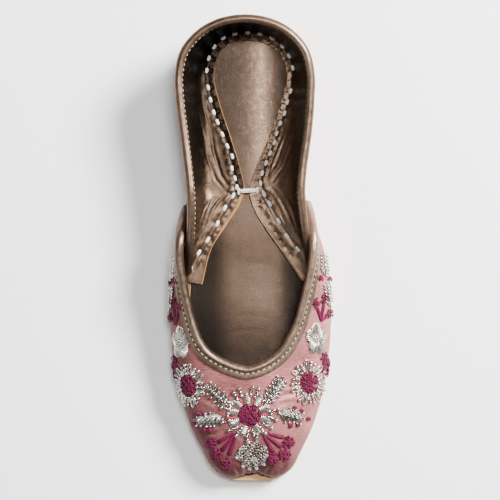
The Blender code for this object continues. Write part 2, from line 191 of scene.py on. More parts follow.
def along(points, at, closed=False):
    """The point of the smooth curve through these points at a place counted in rows."""
    count = len(points)
    step = int(np.floor(at)) if closed else min(int(np.floor(at)), count - 2)
    share = at - step

    def point(index):
        return points[index % count] if closed else points[min(max(index, 0), count - 1)]

    def slope(index):
        before, here, after = point(index - 1), point(index), point(index + 1)
        back = max(np.linalg.norm(here - before), 1e-9)
        ahead = max(np.linalg.norm(after - here), 1e-9)
        if back < 1e-8:
            return (after - here) / ahead
        if ahead < 1e-8:
            return (here - before) / back
        return ((here - before) / back * ahead + (after - here) / ahead * back) / (back + ahead)

    start, end = point(step), point(step + 1)
    span = np.linalg.norm(end - start)
    square, cube = share * share, share * share * share
    return (
        (2 * cube - 3 * square + 1) * start
        + (cube - 2 * square + share) * span * slope(step)
        + (3 * square - 2 * cube) * end
        + (cube - square) * span * slope(step + 1)
    )


def smooth_step(value, low, high):
    share = min(max((value - low) / (high - low), 0.0), 1.0)
    return share * share * (3 - 2 * share)


def unit(vector):
    return vector / max(np.linalg.norm(vector), 1e-12)


def feather_points():
    outer = [place(row[0], row[1]) for row in FEATHER]
    inner = [place(row[2], row[3]) for row in FEATHER]
    return np.array(outer + inner[-2:0:-1])


FEATHER_POINTS = feather_points()
VAMP_EDGE_POINTS = both_sides(VAMP_EDGE, VAMP_HEIGHT)
QUARTER_EDGE_POINTS = both_sides(QUARTER_EDGE[::-1], BACK_HEIGHT)
RAW_EDGE_POINTS = both_sides(RAW_EDGE[::-1])


def outline(row, inset=0.0):
    """The feather line at a row, moved inward by the inset. Rows run from the toe along the outer side."""
    point = along(FEATHER_POINTS, row % (2 * ROWS), closed=True)
    ahead = along(FEATHER_POINTS, (row + 0.05) % (2 * ROWS), closed=True)
    behind = along(FEATHER_POINTS, (row - 0.05) % (2 * ROWS), closed=True)
    direction = unit(ahead - behind)
    inward = np.array((-direction[1], direction[0], 0.0))
    inward = -inward if np.dot(inward, np.array((0.0, point[1] * 0.8, 0.0)) - point) < 0 else inward
    return point + inward * inset, inward


def lift(y):
    """How far the sole's underside stands off the ground at a distance along the shoe."""
    station = y / LENGTH + 0.5
    spring = max(0.0, 1.0 - station / SPRING_STATION)
    low, high = ARCH_STATIONS
    arch = np.sin(np.pi * min(max((station - low) / (high - low), 0.0), 1.0)) ** 2
    return TOE_SPRING * spring * spring + ARCH_LIFT * arch


def raised(point, height):
    """This plan position at a height above the lifted sole."""
    return np.array((point[0], point[1], height + lift(point[1])))




# The photograph's camera: it stands straight above the shoe's inner side, and one of its pixels
# covers this much of a level plane just above the sole.
PHOTO_EYE = np.array((27.8, -16.6, 1000.0)) * MM
PHOTO_PLANE = 10.0 * MM
PHOTO_PIXEL = 0.442 * MM
PHOTO_MIDDLE = 250.0


def photo_ray(x, y):
    """The ray from the photograph's camera through a place of its picture."""
    target = np.array((
        PHOTO_EYE[0] + (x - PHOTO_MIDDLE) * PHOTO_PIXEL,
        PHOTO_EYE[1] + (PHOTO_MIDDLE - y) * PHOTO_PIXEL,
        PHOTO_PLANE,
    ))
    return Vector(PHOTO_EYE), Vector(target - PHOTO_EYE).normalized()


def photo_place(points):
    """Where points of the shoe stand in the photograph's picture."""
    grow = (PHOTO_EYE[2] - PHOTO_PLANE) / (PHOTO_EYE[2] - points[..., 2])
    x = PHOTO_MIDDLE + (points[..., 0] - PHOTO_EYE[0]) * grow / PHOTO_PIXEL
    y = PHOTO_MIDDLE - (points[..., 1] - PHOTO_EYE[1]) * grow / PHOTO_PIXEL
    return np.stack((x, y), axis=-1)


# Walls of the upper, as curves from the sole to the upper edge
def curve(controls, shares):
    a, b, c, d = (np.asarray(point)[None, :] for point in controls)
    share = np.asarray(shares)[:, None]
    rest = 1.0 - share
    return rest ** 3 * a + 3 * rest * rest * share * b + 3 * rest * share * share * c + share ** 3 * d


def vamp_side(row):
    return row if row >= 0 else 2 * ROWS + row


def vamp_foot(row):
    """The foot of the vamp's wall, drawn back at the middle of the toe where the cloth is gathered."""
    point, inward = outline(vamp_side(row))
    middle = along(FEATHER_POINTS, 0.0, closed=True)
    notch = TOE_NOTCH * np.exp(-((point[0] - middle[0]) / TOE_NOTCH_WIDTH) ** 2) if abs(row) < 2 else 0.0
    return point + inward * notch, inward


def vamp_controls(row):
    """The vamp's outer surface at a row, from the sole to its upper edge."""
    foot, inward = vamp_foot(row)
    foot = raised(foot, UPPER_FOOT)
    edge = along(VAMP_EDGE_POINTS, row + WING_ROW)
    edge = edge + np.array((0.0, 0.0, lift(edge[1])))
    away = (foot - edge) * np.array((1.0, 1.0, 0.0))
    distance = np.linalg.norm(away)
    height = edge[2] - foot[2]
    wing = smooth_step(abs(row), 8.5, 11.0)
    reach = (0.56 * distance + 1.5 * MM) * (1 - wing) + 0.35 * distance * wing
    drop = min(0.2 * height, 5.5 * MM) * (1 - wing) + 0.3 * height * wing
    bulge = SIDE_BULGE * (1 - 0.5 * wing) * min(height / (20 * MM), 1.0)
    rise = min(TOE_RISE, 0.55 * height)
    low = foot - inward * bulge + np.array((0.0, 0.0, rise))
    high = edge + unit(away) * reach - np.array((0.0, 0.0, drop))
    high = high - inward * bulge * 0.5 * smooth_step(abs(row), 3.0, 7.0)
    return foot, low, high, edge


def side_row(row):
    """The row counted from the toe along either side."""
    return min(row, 2 * ROWS - row)


def margin_width(row):
    """How far the vamp's bottom margin turns in over the insole. It runs out before the ends of the wings."""
    widening = smooth_step(abs(row), 4.0, 8.0)
    full = VAMP_TOE_MARGIN + (VAMP_MARGIN - VAMP_TOE_MARGIN) * widening
    return full + (GAP - full) * smooth_step(abs(row), WING_ROW - 2.8, WING_ROW - 1.8)


def insole_inset(row):
    """The insole clears the upper's wall, and both walls where the wings overlap the quarter."""
    side = side_row(row)
    doubled = smooth_step(side, WING_ROW - 2.2, WING_ROW - 1.5)
    doubled = doubled * (1.0 - smooth_step(side, WING_ROW + 1.0, WING_ROW + 1.6))
    return WALL + 3 * GAP + doubled * (WALL + 2 * GAP)


def quarter_inset(row):
    """How far the quarter's foot stands inside the feather line where the vamp wraps it, and how high it
    stands where it rests on the vamp's margin."""
    inside = 1.0 - smooth_step(side_row(row), WING_ROW + 0.1, WING_ROW + 0.9)
    over = 1.0 - smooth_step(side_row(row), WING_ROW - 1.4, WING_ROW - 0.8)
    return inside * (WALL + 2 * GAP), over * (VAMP_MARGIN_TOP + GAP - UPPER_FOOT)


def quarter_controls(row):
    """The quarter's outer surface at a row, from the sole to its upper edge."""
    inset, step = quarter_inset(row)
    foot, inward = outline(row, inset)
    foot = raised(foot, UPPER_FOOT + step)
    edge = along(QUARTER_EDGE_POINTS, 2 * ROWS - FIRST_QUARTER_ROW - row)
    edge = edge + np.array((0.0, 0.0, lift(edge[1])))
    height = edge[2] - foot[2]
    wrapped = 1.0 - smooth_step(side_row(row), WING_ROW + 0.2, WING_ROW + 2.0)
    fullness = QUARTER_BULGE * (1.0 - 2.0 * wrapped)
    low = foot - inward * fullness + np.array((0.0, 0.0, 0.36 * height))
    high = edge + (foot - edge) * 0.3 - inward * fullness * 0.5
    return foot, low, high, edge


# Grids and meshes
def unit_rows(vectors):
    return vectors / np.maximum(np.linalg.norm(vectors, axis=-1, keepdims=True), 1e-12)


def grid_normals(grid, outward):
    """Normals of a grid of points, turned to the side that a rough outward direction for each row gives."""
    normals = unit_rows(np.cross(np.gradient(grid, axis=1), np.gradient(grid, axis=0)))
    facing = (normals * outward[:, None, :]).sum(axis=-1).mean()
    return normals if facing > 0 else -normals


def grid_skin(grid):
    """A tree for finding places on a grid of points."""
    rows, columns = grid.shape[:2]
    index = np.arange(rows * columns).reshape(rows, columns)
    quads = np.stack((index[:-1, :-1], index[:-1, 1:], index[1:, 1:], index[1:, :-1]), axis=-1).reshape(-1, 4)
    return BVHTree.FromPolygons(grid.reshape(-1, 3).tolist(), quads.tolist())


def make_mesh(name, points, faces, materials, slots=None, smooth=True, sharp=0.9):
    mesh = bpy.data.meshes.new(name)
    mesh.from_pydata(points.tolist(), [], faces)
    for material in materials:
        mesh.materials.append(material)
    if slots is not None:
        mesh.polygons.foreach_set("material_index", slots)
    if smooth:
        mesh.shade_smooth()
        mesh.set_sharp_from_angle(angle=sharp)
    mesh.update()
    piece = bpy.data.objects.new(name, mesh)
    bpy.context.scene.collection.objects.link(piece)
    return piece


def make_loft(name, rings, materials, slots, sharp=0.9):
    """A closed body skinned over a grid of rings. Each place round the ring has its own material slot."""
    count, around = rings.shape[:2]
    index = np.arange(count * around).reshape(count, around)
    after = np.roll(index, -1, axis=1)
    quads = np.stack((index[:-1], after[:-1], after[1:], index[1:]), axis=-1).reshape(-1, 4)
    faces = quads.tolist() + [index[0, ::-1].tolist(), index[-1].tolist()]
    chosen = np.tile(np.asarray(slots), count - 1).tolist() + [slots[0], slots[0]]
    points = rings.reshape(-1, 3)
    a, b, c = points[quads[:, 0]], points[quads[:, 1]], points[quads[:, 2]]
    d = points[quads[:, 3]]
    volume = (a * np.cross(b, c)).sum() + (a * np.cross(c, d)).sum()
    if volume < 0:
        faces = [face[::-1] for face in faces]
    return make_mesh(name, points, faces, materials, chosen, sharp=sharp)


def cloud(points, size, seed, octaves=3):
    """Soft noise between about -1 and 1 at each point, for undulations of the given size."""
    flat = points.reshape(-1, 3) / size + seed * 7.31
    values = [noise.fractal(Vector(point), 1.0, 2.0, octaves) for point in flat.tolist()]
    return np.array(values).reshape(points.shape[:-1])


def bell(distance, width):
    return np.exp(-0.5 * (distance / width) ** 2)


def line_distance(places, line):
    """Distance in the picture from each place to a line of named points, and how far along it lies."""
    nearest = np.full(places.shape[:-1], 1e9)
    share = np.zeros(places.shape[:-1])
    line = np.asarray(line, dtype=float)
    for number, (start, end) in enumerate(zip(line[:-1], line[1:])):
        span = end - start
        t = np.clip(((places - start) * span).sum(axis=-1) / (span * span).sum(), 0.0, 1.0)
        distance = np.linalg.norm(places - (start + t[..., None] * span), axis=-1)
        closer = distance < nearest
        nearest = np.where(closer, distance, nearest)
        share = np.where(closer, (number + t) / (len(line) - 1), share)
    return nearest, share


# Materials
class Nodes:
    """A material's node tree with short ways to add nodes and join them."""

    def __init__(self, name, **settings):
        self.material = bpy.data.materials.new(name)
        self.material.use_nodes = True
        self.tree = self.material.node_tree
        self.shader = self.tree.nodes["Principled BSDF"]
        self.coordinates = self.tree.nodes.new("ShaderNodeTexCoord").outputs["Object"]
        for name, value in settings.items():
            self.shader.inputs[name.replace("_", " ")].default_value = value

    def add(self, kind, **inputs):
        node = self.tree.nodes.new(kind)
        for name, value in inputs.items():
            socket = node.inputs[name.replace("_", " ")]
            if isinstance(value, bpy.types.NodeSocket):
                self.tree.links.new(value, socket)
            else:
                socket.default_value = value
        return node

    def join(self, output, name):
        self.tree.links.new(output, self.shader.inputs[name])

    def stretched(self, x, y, z):
        """The object's coordinates in metres, stretched along each axis."""
        node = self.add("ShaderNodeMapping", Vector=self.coordinates)
        node.inputs["Scale"].default_value = (x, y, z)
        return node.outputs["Vector"]

    def grain(self, scale, detail=3.0, roughness=0.55, vector=None, distortion=0.0):
        node = self.add(
            "ShaderNodeTexNoise", Vector=vector or self.coordinates, Scale=scale, Detail=detail,
            Roughness=roughness, Distortion=distortion,
        )
        return node.outputs["Fac"]

    def cells(self, scale, vector=None, feature="DISTANCE_TO_EDGE"):
        node = self.add("ShaderNodeTexVoronoi", Vector=vector or self.coordinates, Scale=scale)
        node.feature = feature
        return node.outputs["Distance"]

    def ramp(self, factor, *stops):
        node = self.add("ShaderNodeValToRGB", Fac=factor)
        elements = node.color_ramp.elements
        while len(elements) < len(stops):
            elements.new(0.5)
        for element, (place, color) in zip(elements, stops):
            element.position = place
            element.color = (*color, 1.0) if isinstance(color, tuple) else (color, color, color, 1.0)
        return node.outputs["Color"]

    def blend(self, factor, low, high, mode="MIX"):
        node = self.tree.nodes.new("ShaderNodeMix")
        node.data_type = "RGBA"
        node.blend_type = mode
        for socket, value in ((node.inputs[0], factor), (node.inputs[6], low), (node.inputs[7], high)):
            if isinstance(value, bpy.types.NodeSocket):
                self.tree.links.new(value, socket)
            elif isinstance(value, tuple):
                socket.default_value = (*value, 1.0)
            else:
                socket.default_value = value
        return node.outputs[2]

    def range(self, factor, low, high, start=0.0, end=1.0):
        node = self.add("ShaderNodeMapRange", Value=factor)
        node.inputs["From Min"].default_value = start
        node.inputs["From Max"].default_value = end
        node.inputs["To Min"].default_value = low
        node.inputs["To Max"].default_value = high
        return node.outputs["Result"]

    def bump(self, height, distance, strength=1.0, normal=None):
        node = self.add("ShaderNodeBump", Height=height, Distance=distance, Strength=strength)
        if normal is not None:
            self.tree.links.new(normal, node.inputs["Normal"])
        return node.outputs["Normal"]


def satin_material(name, lit, deep, shade):
    """Satin with the slubs of raw silk across the foot, soft patches of shine and a fine weave. Its colour carries
    painted light: painted shade, down to the shade factor, where it faces away from the inner side and the
    heel, and painted shade towards the toe."""
    look = Nodes(
        name, Metallic=0.40, Roughness=0.42, Specular_IOR_Level=0.3, Specular_Tint=(0.72, 0.42, 0.42, 1.0),
    )
    patches = look.grain(38.0, detail=2.0, roughness=0.5)
    slubs = look.grain(1.0, detail=4.0, roughness=0.65, vector=look.stretched(260.0, 1700.0, 1000.0))
    mix = look.blend(0.5, patches, slubs)
    cloth = look.ramp(mix, (0.35, deep), (0.61, lit))
    # Painted light and shade: the colour is scaled by how far the surface faces a fixed direction towards the key lamp.
    facing = look.add("ShaderNodeVectorMath")
    facing.operation = "DOT_PRODUCT"
    look.tree.links.new(look.add("ShaderNodeNewGeometry").outputs["Normal"], facing.inputs[0])
    facing.inputs[1].default_value = (0.60, 0.45, 0.66)
    painted_light = look.ramp(facing.outputs["Value"], (0.0, shade), (0.3, shade + 0.12), (0.66, 0.62), (0.95, 1.0))
    cloth = look.blend(1.0, cloth, painted_light, "MULTIPLY")
    # Painted shade: darker towards the toe.
    place = look.add("ShaderNodeSeparateXYZ", Vector=look.coordinates)
    toe = look.ramp(
        look.range(place.outputs["Y"], 0.0, 1.0, -0.124, -0.084), (0.0, 0.46), (0.3, 0.60), (0.62, 0.84), (1.0, 1.0),
    )
    look.join(look.blend(1.0, cloth, toe, "MULTIPLY"), "Base Color")
    look.join(look.range(slubs, 0.34, 0.52, 0.3, 0.7), "Roughness")
    weave = look.grain(1.0, detail=1.0, vector=look.stretched(5200.0, 5200.0, 3000.0))
    first = look.bump(slubs, 0.00022, 0.5)
    look.join(look.bump(weave, 0.00006, 0.35, first), "Normal")
    return look.material


def bronze_material(name, lit, deep, metallic, roughness, grain=900.0, depth=0.00012, patch=45.0, shaded=False, outer=1.0):
    """Bronze metallic leather: a fine pebble grain, worn patches and scattered dull spots. Shaded leather
    carries painted shade, duller and darker inside the heel's outer side. Outer is how bright painted shade
    leaves it on the shoe's outer side."""
    look = Nodes(name, Metallic=metallic, Roughness=roughness, Specular_IOR_Level=0.15)
    patches = look.grain(patch, detail=5.0, roughness=0.6)
    specks = look.grain(420.0, detail=3.0, roughness=0.7)
    leather = look.ramp(look.blend(0.4, patches, specks), (0.34, deep), (0.64, lit))
    # Painted shade: darker towards the heel on the shoe's outer side.
    if shaded:
        place = look.add("ShaderNodeSeparateXYZ", Vector=look.coordinates)
        behind = look.ramp(
            look.range(place.outputs["Y"], 0.0, 1.0, 0.0, 0.10),
            (0.0, 0.9), (0.18, 1.0), (0.28, 0.75), (0.37, 0.36), (0.47, 0.18), (0.66, 0.10), (1.0, 0.14),
        )
        inner_side = look.range(place.outputs["X"], 0.0, 1.0, -0.004, 0.010)
        leather = look.blend(1.0, leather, look.blend(inner_side, behind, (1.0, 1.0, 1.0)), "MULTIPLY")
    # Painted shade: darker towards the shoe's outer side.
    if outer < 1.0:
        place = look.add("ShaderNodeSeparateXYZ", Vector=look.coordinates)
        side = look.ramp(look.range(place.outputs["X"], 0.0, 1.0, -0.030, 0.030), (0.1, outer), (0.9, 1.0))
        leather = look.blend(1.0, leather, side, "MULTIPLY")
    look.join(leather, "Base Color")
    look.join(look.range(specks, roughness - 0.07, roughness + 0.1, 0.3, 0.7), "Roughness")
    look.join(look.range(patches, metallic - 0.12, min(metallic + 0.1, 1.0), 0.35, 0.65), "Metallic")
    pebbles = look.cells(grain)
    fine = look.grain(2600.0, detail=2.0)
    first = look.bump(pebbles, depth, 0.5)
    look.join(look.bump(fine, depth * 0.5, 0.35, first), "Normal")
    return look.material


def insole_material():
    """The insole's bronze leather with painted light: a painted highlight in a band along its middle, and
    painted shade where the walls and the vamp shade it."""
    look = Nodes("bronze_insole", Metallic=0.92, Roughness=0.38)
    place = look.add("ShaderNodeSeparateXYZ", Vector=look.coordinates)
    # Painted shade towards both sides, lightest in a band a little to the inner side.
    across = look.ramp(
        look.range(place.outputs["X"], 0.0, 1.0, -0.027, 0.025),
        (0.0, 0.10), (0.12, 0.16), (0.19, 0.30), (0.26, 0.56), (0.34, 0.78), (0.50, 0.86), (0.64, 0.98),
        (0.75, 1.0), (0.81, 0.74), (0.87, 0.34), (0.93, 0.16), (1.0, 0.08),
    )
    # Painted shade towards the front, under the vamp.
    painted_front_shade = look.ramp(
        look.range(place.outputs["Y"], 0.0, 1.0, -0.070, 0.080),
        (0.0, 0.18), (0.10, 0.34), (0.15, 0.50), (0.21, 0.66), (0.30, 0.90), (0.42, 1.0), (1.0, 1.0),
    )
    # In the heel a painted highlight band, a little to the inner side, takes the place of the band above.
    painted_heel_highlight = look.ramp(
        look.range(place.outputs["X"], 0.0, 1.0, -0.020, 0.020),
        (0.0, 0.20), (0.26, 0.30), (0.42, 0.42), (0.56, 0.60), (0.66, 0.72), (0.74, 0.46), (0.82, 0.22), (1.0, 0.12),
    )
    heelward = look.range(place.outputs["Y"], 0.0, 0.85, 0.012, 0.045)
    across = look.blend(heelward, across, painted_heel_highlight)
    patches = look.grain(30.0, detail=5.0, roughness=0.6)
    specks = look.grain(420.0, detail=3.0, roughness=0.7)
    leather = look.ramp(
        look.blend(0.4, patches, specks), (0.34, (0.068, 0.042, 0.028)), (0.64, (0.104, 0.067, 0.047)),
    )
    shaded = look.blend(1.0, leather, look.blend(1.0, across, painted_front_shade, "MULTIPLY"), "MULTIPLY")
    # A painted highlight in the heel, blended towards a bright bronze.
    painted_light = look.ramp(
        look.range(place.outputs["X"], 0.0, 1.0, -0.006, 0.017), (0.0, 0.0), (0.15, 0.05), (0.32, 0.30), (0.50, 0.80), (0.66, 0.30), (0.82, 0.05), (1.0, 0.0),
    )
    shaded = look.blend(look.blend(1.0, painted_light, heelward, "MULTIPLY"), shaded, (0.225, 0.146, 0.101))
    look.join(shaded, "Base Color")
    look.join(look.range(specks, 0.32, 0.46, 0.3, 0.7), "Roughness")
    pebbles = look.bump(look.cells(900.0), 0.00010, 0.5)
    look.join(look.bump(look.grain(2600.0, detail=2.0), 0.00005, 0.35, pebbles), "Normal")
    return look.material


def raw_leather_material(name, lit, deep):
    """Uncoated tan leather, as at a cut edge or on the sole, with fine fibres."""
    look = Nodes(name, Metallic=0.0, Roughness=0.72, Specular_IOR_Level=0.35)
    fibres = look.grain(1.0, detail=5.0, roughness=0.7, vector=look.stretched(500.0, 500.0, 2600.0))
    patches = look.grain(60.0, detail=3.0)
    look.join(look.ramp(look.blend(0.45, fibres, patches), (0.3, deep), (0.66, lit)), "Base Color")
    look.join(look.bump(fibres, 0.00018, 0.5), "Normal")
    return look.material


def thread_material(name, color, deep, roughness=0.6, sheen=0.4, metallic=0.0, twist=2600.0):
    """Sewing or embroidery thread with its twisted strands."""
    look = Nodes(
        name, Metallic=metallic, Roughness=roughness, Sheen_Weight=sheen, Sheen_Roughness=0.4,
        Sheen_Tint=(*color, 1.0), Specular_IOR_Level=0.2,
    )
    strands = look.grain(twist, detail=2.0)
    look.join(look.ramp(strands, (0.35, deep), (0.6, color)), "Base Color")
    look.join(look.bump(strands, 0.0001, 0.5), "Normal")
    return look.material


def silver_material(name, color, deep, roughness, depth=0.00004):
    """Silver-plated beads and wire, a little tarnished in places."""
    look = Nodes(name, Metallic=1.0, Roughness=roughness)
    spots = look.grain(700.0, detail=3.0, roughness=0.6)
    look.join(look.ramp(spots, (0.32, deep), (0.55, color)), "Base Color")
    look.join(look.range(spots, roughness + 0.12, roughness, 0.3, 0.6), "Roughness")
    look.join(look.bump(look.grain(2400.0, detail=1.0), depth, 0.4), "Normal")
    return look.material


def crystal_material(name):
    """Faceted glass with a silvered back."""
    look = Nodes(name, Metallic=0.55, Roughness=0.03, IOR=1.75, Transmission_Weight=0.45)
    tint = look.grain(300.0, detail=1.0)
    look.join(look.ramp(tint, (0.3, (0.52, 0.53, 0.54)), (0.7, (0.80, 0.80, 0.80))), "Base Color")
    return look.material


# The last argument is how dark the painted shade goes where the satin faces away from the key lamp.
SATIN = satin_material("rose_satin", (0.66, 0.252, 0.243), (0.28, 0.086, 0.091), 0.20)
PLAIN_SATIN = satin_material("quarter_satin", (0.60, 0.229, 0.221), (0.28, 0.086, 0.091), 0.26)
# The lining carries painted shade towards the heel on its outer side.
LINING = bronze_material("bronze_lining", (0.150, 0.096, 0.064), (0.056, 0.035, 0.023), 0.90, 0.38, shaded=True)
INSOLE = insole_material()
# The throat binding carries painted shade on the shoe's outer side.
BINDING = bronze_material("bronze_binding", (0.33, 0.222, 0.161), (0.21, 0.137, 0.097), 0.86, 0.35, depth=0.00007, outer=0.45)
COLLAR = bronze_material("collar_bronze", (0.165, 0.108, 0.076), (0.105, 0.067, 0.046), 0.88, 0.35, depth=0.00007)
TAN = raw_leather_material("tan_leather", (0.40, 0.195, 0.068), (0.22, 0.095, 0.028))
SOLE = raw_leather_material("sole_leather", (0.66, 0.41, 0.20), (0.42, 0.225, 0.09))
WHITE_THREAD = thread_material("white_thread", (0.84, 0.81, 0.77), (0.50, 0.47, 0.43), sheen=0.1)
CREAM_THREAD = thread_material("cream_thread", (0.44, 0.34, 0.235), (0.22, 0.16, 0.105), sheen=0.1)
MAGENTA = thread_material("magenta_thread", (0.135, 0.0060, 0.041), (0.030, 0.0012, 0.009), roughness=0.55, sheen=0.0)
CORAL = thread_material("coral_thread", (0.45, 0.05, 0.05), (0.22, 0.018, 0.02), roughness=0.45, sheen=0.4)
SILVER = silver_material("silver_beads", (0.62, 0.61, 0.58), (0.17, 0.155, 0.135), 0.10)
WIRE = silver_material("silver_wire", (0.46, 0.435, 0.385), (0.17, 0.15, 0.12), 0.18, depth=0.00008)
PALE = silver_material("pale_silver_wire", (0.66, 0.625, 0.56), (0.36, 0.32, 0.265), 0.30, depth=0.00008)
CRYSTAL = crystal_material("clear_crystal")
# Near-black leather that paints the shade inside the stitch holes, the shadow gap at the toe and shadow lines along the
# binding stitches.
PAINTED_SHADE = raw_leather_material("painted_dark_shade", (0.03, 0.02, 0.016), (0.012, 0.009, 0.007))


# Sole and insole
def slab_rings(rows, inset_of, bottom, top, bevel, across_count, dome=0.0):
    """Cross-sections of a flat piece: a top, a rounded edge, a bottom and a rounded edge again."""
    shares = np.linspace(0.0, 1.0, across_count)
    turn = np.linspace(0.0, 1.0, 5)[1:-1] * math.pi / 2
    rings = []
    for row in rows:
        left, _ = outline(row, inset_of(row))
        right, _ = outline(2 * ROWS - row, inset_of(row))
        across = unit(right - left)
        width = np.linalg.norm(right - left) - 2 * bevel
        ring = []
        for share in shares:
            hump = dome * (1 - (2 * share - 1) ** 2)
            ring.append(raised(left + across * (bevel + width * share), top + hump))
        for angle in turn:
            spot = right - across * bevel * (1 - math.sin(angle))
            ring.append(raised(spot, top - bevel * (1 - math.cos(angle))))
        ring.append(raised(right, top - bevel))
        ring.append(raised(right, bottom + bevel))
        for share in shares[::-1]:
            ring.append(raised(left + across * (bevel + width * share), bottom))
        ring.append(raised(left, bottom + bevel))
        ring.append(raised(left, top - bevel))
        for angle in turn[::-1]:
            spot = left + across * bevel * (1 - math.sin(angle))
            ring.append(raised(spot, top - bevel * (1 - math.cos(angle))))
        rings.append(ring)
    return np.array(rings)


def build_outsole():
    rows = np.concatenate((np.linspace(0.9, 4.0, 30), np.linspace(4.1, 17.0, 110), np.linspace(17.1, 19.85, 30)))
    rings = slab_rings(rows, lambda row: -SOLE_EDGE, 0.0, SOLE_TOP, SOLE_BEVEL, 24)
    slots = [0] * rings.shape[1]
    piece = make_loft("sole", rings, [SOLE], slots)
    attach(piece, "root")
    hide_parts("outsole")


def build_insole():
    """The padded insole, with the soft hollows that a foot leaves and fine creases across the ball."""
    rows = np.concatenate((np.linspace(1.55, 4.0, 40), np.linspace(4.08, 17.0, 170), np.linspace(17.1, 19.6, 30)))
    rings = slab_rings(rows, insole_inset, UPPER_FOOT, INSOLE_TOP, INSOLE_BEVEL, 70)
    top = rings[:, :70]
    places = photo_place(top)
    swell = 0.10 * MM * cloud(top, 26 * MM, 3) + 0.03 * MM * cloud(top, 6 * MM, 4)
    for crease, depth in (
        (((150, 318), (176, 311), (206, 313)), 0.10),
        (((160, 296), (186, 292), (212, 296)), 0.07),
        (((170, 280), (190, 276), (214, 280)), 0.05),
        (((178, 232), (196, 229), (210, 231)), 0.06),
    ):
        distance, share = line_distance(places, crease)
        swell = swell - depth * MM * bell(distance, 1.3) * np.sin(np.pi * share)
    share = np.abs(np.linspace(-1.0, 1.0, 70))[None, :]
    top[..., 2] += swell - 0.05 * MM + 1.3 * MM * share ** 5 * (1 - share ** 30)
    piece = make_loft("padded_insole", rings, [INSOLE], [0] * rings.shape[1])
    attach(piece, "root")
    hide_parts("insole")
    return grid_skin(top)


# Vamp
VAMP_ROWS = np.linspace(-WING_ROW, WING_ROW, 561)
VAMP_SHARES = np.concatenate((np.linspace(0.0, 0.3, 34)[:-1], np.linspace(0.3, 1.0, 44)))


def vamp_grid(shares):
    return np.array([curve(vamp_controls(row), shares) for row in VAMP_ROWS])


def toe_puckers(grid, shares):
    """Gathers of the cloth where it is drawn under at the toe, and the soft creases over it."""
    middle = along(FEATHER_POINTS, 0.0, closed=True)
    side = grid[..., 0] - middle[0]
    low = np.clip(1.0 - shares[None, :] / 0.27, 0.0, 1.0)
    deep = np.clip(1.0 - shares[None, :] / 0.45, 0.0, 1.0)
    pleats = np.sin(side * 2 * np.pi / (3.1 * MM) + 1.3 * np.sin(side / (5.2 * MM)))
    reach = bell(side, 9.5 * MM)
    return pleats * 0.46 * MM * low ** 1.3 * reach - 1.7 * MM * deep ** 0.8 * bell(side, 7.5 * MM)


VAMP_CREASES = (
    # depth in mm, half width in pixels, line
    (0.62, 1.8, ((216, 396), (228, 391), (242, 388), (252, 392))),
    (0.48, 1.5, ((214, 404), (226, 401), (238, 397))),
    (0.44, 1.6, ((128, 396), (140, 400), (150, 409))),
    (0.40, 1.6, ((132, 440), (141, 439), (152, 434))),
    (0.46, 1.7, ((180, 492), (182, 486), (181, 478))),
    (0.42, 1.5, ((196, 492), (194, 485), (195, 479))),
    (0.40, 1.5, ((172, 494), (172, 487), (168, 481))),
    (0.38, 1.5, ((205, 491), (207, 485), (212, 480))),
    (0.30, 2.2, ((139, 350), (151, 368), (166, 381))),
    (0.26, 2.0, ((243, 345), (238, 361), (229, 375))),
    (0.34, 2.4, ((233, 456), (228, 470), (224, 482))),
    (0.32, 2.4, ((137, 476), (146, 486), (150, 492))),
)


def folded(places, creases):
    """Troughs with soft shoulders along named lines of the picture, in metres."""
    height = np.zeros(places.shape[:-1])
    for depth, width, line in creases:
        distance, share = line_distance(places, line)
        fade = np.sin(np.pi * np.clip(share, 0.04, 0.96)) ** 0.6
        trough = -bell(distance, width) + 0.55 * bell(distance - 2.4 * width, width * 1.1)
        height = height + depth * MM * trough * fade
    return height


def vamp_relief(grid, shares):
    hold = np.clip((0.93 - shares) / 0.12, 0.0, 1.0)[None, :]
    relief = 0.30 * MM * cloud(grid, 21 * MM, 1) + 0.10 * MM * cloud(grid, 7 * MM, 2)
    return (relief + folded(photo_place(grid), VAMP_CREASES)) * hold + toe_puckers(grid, shares)


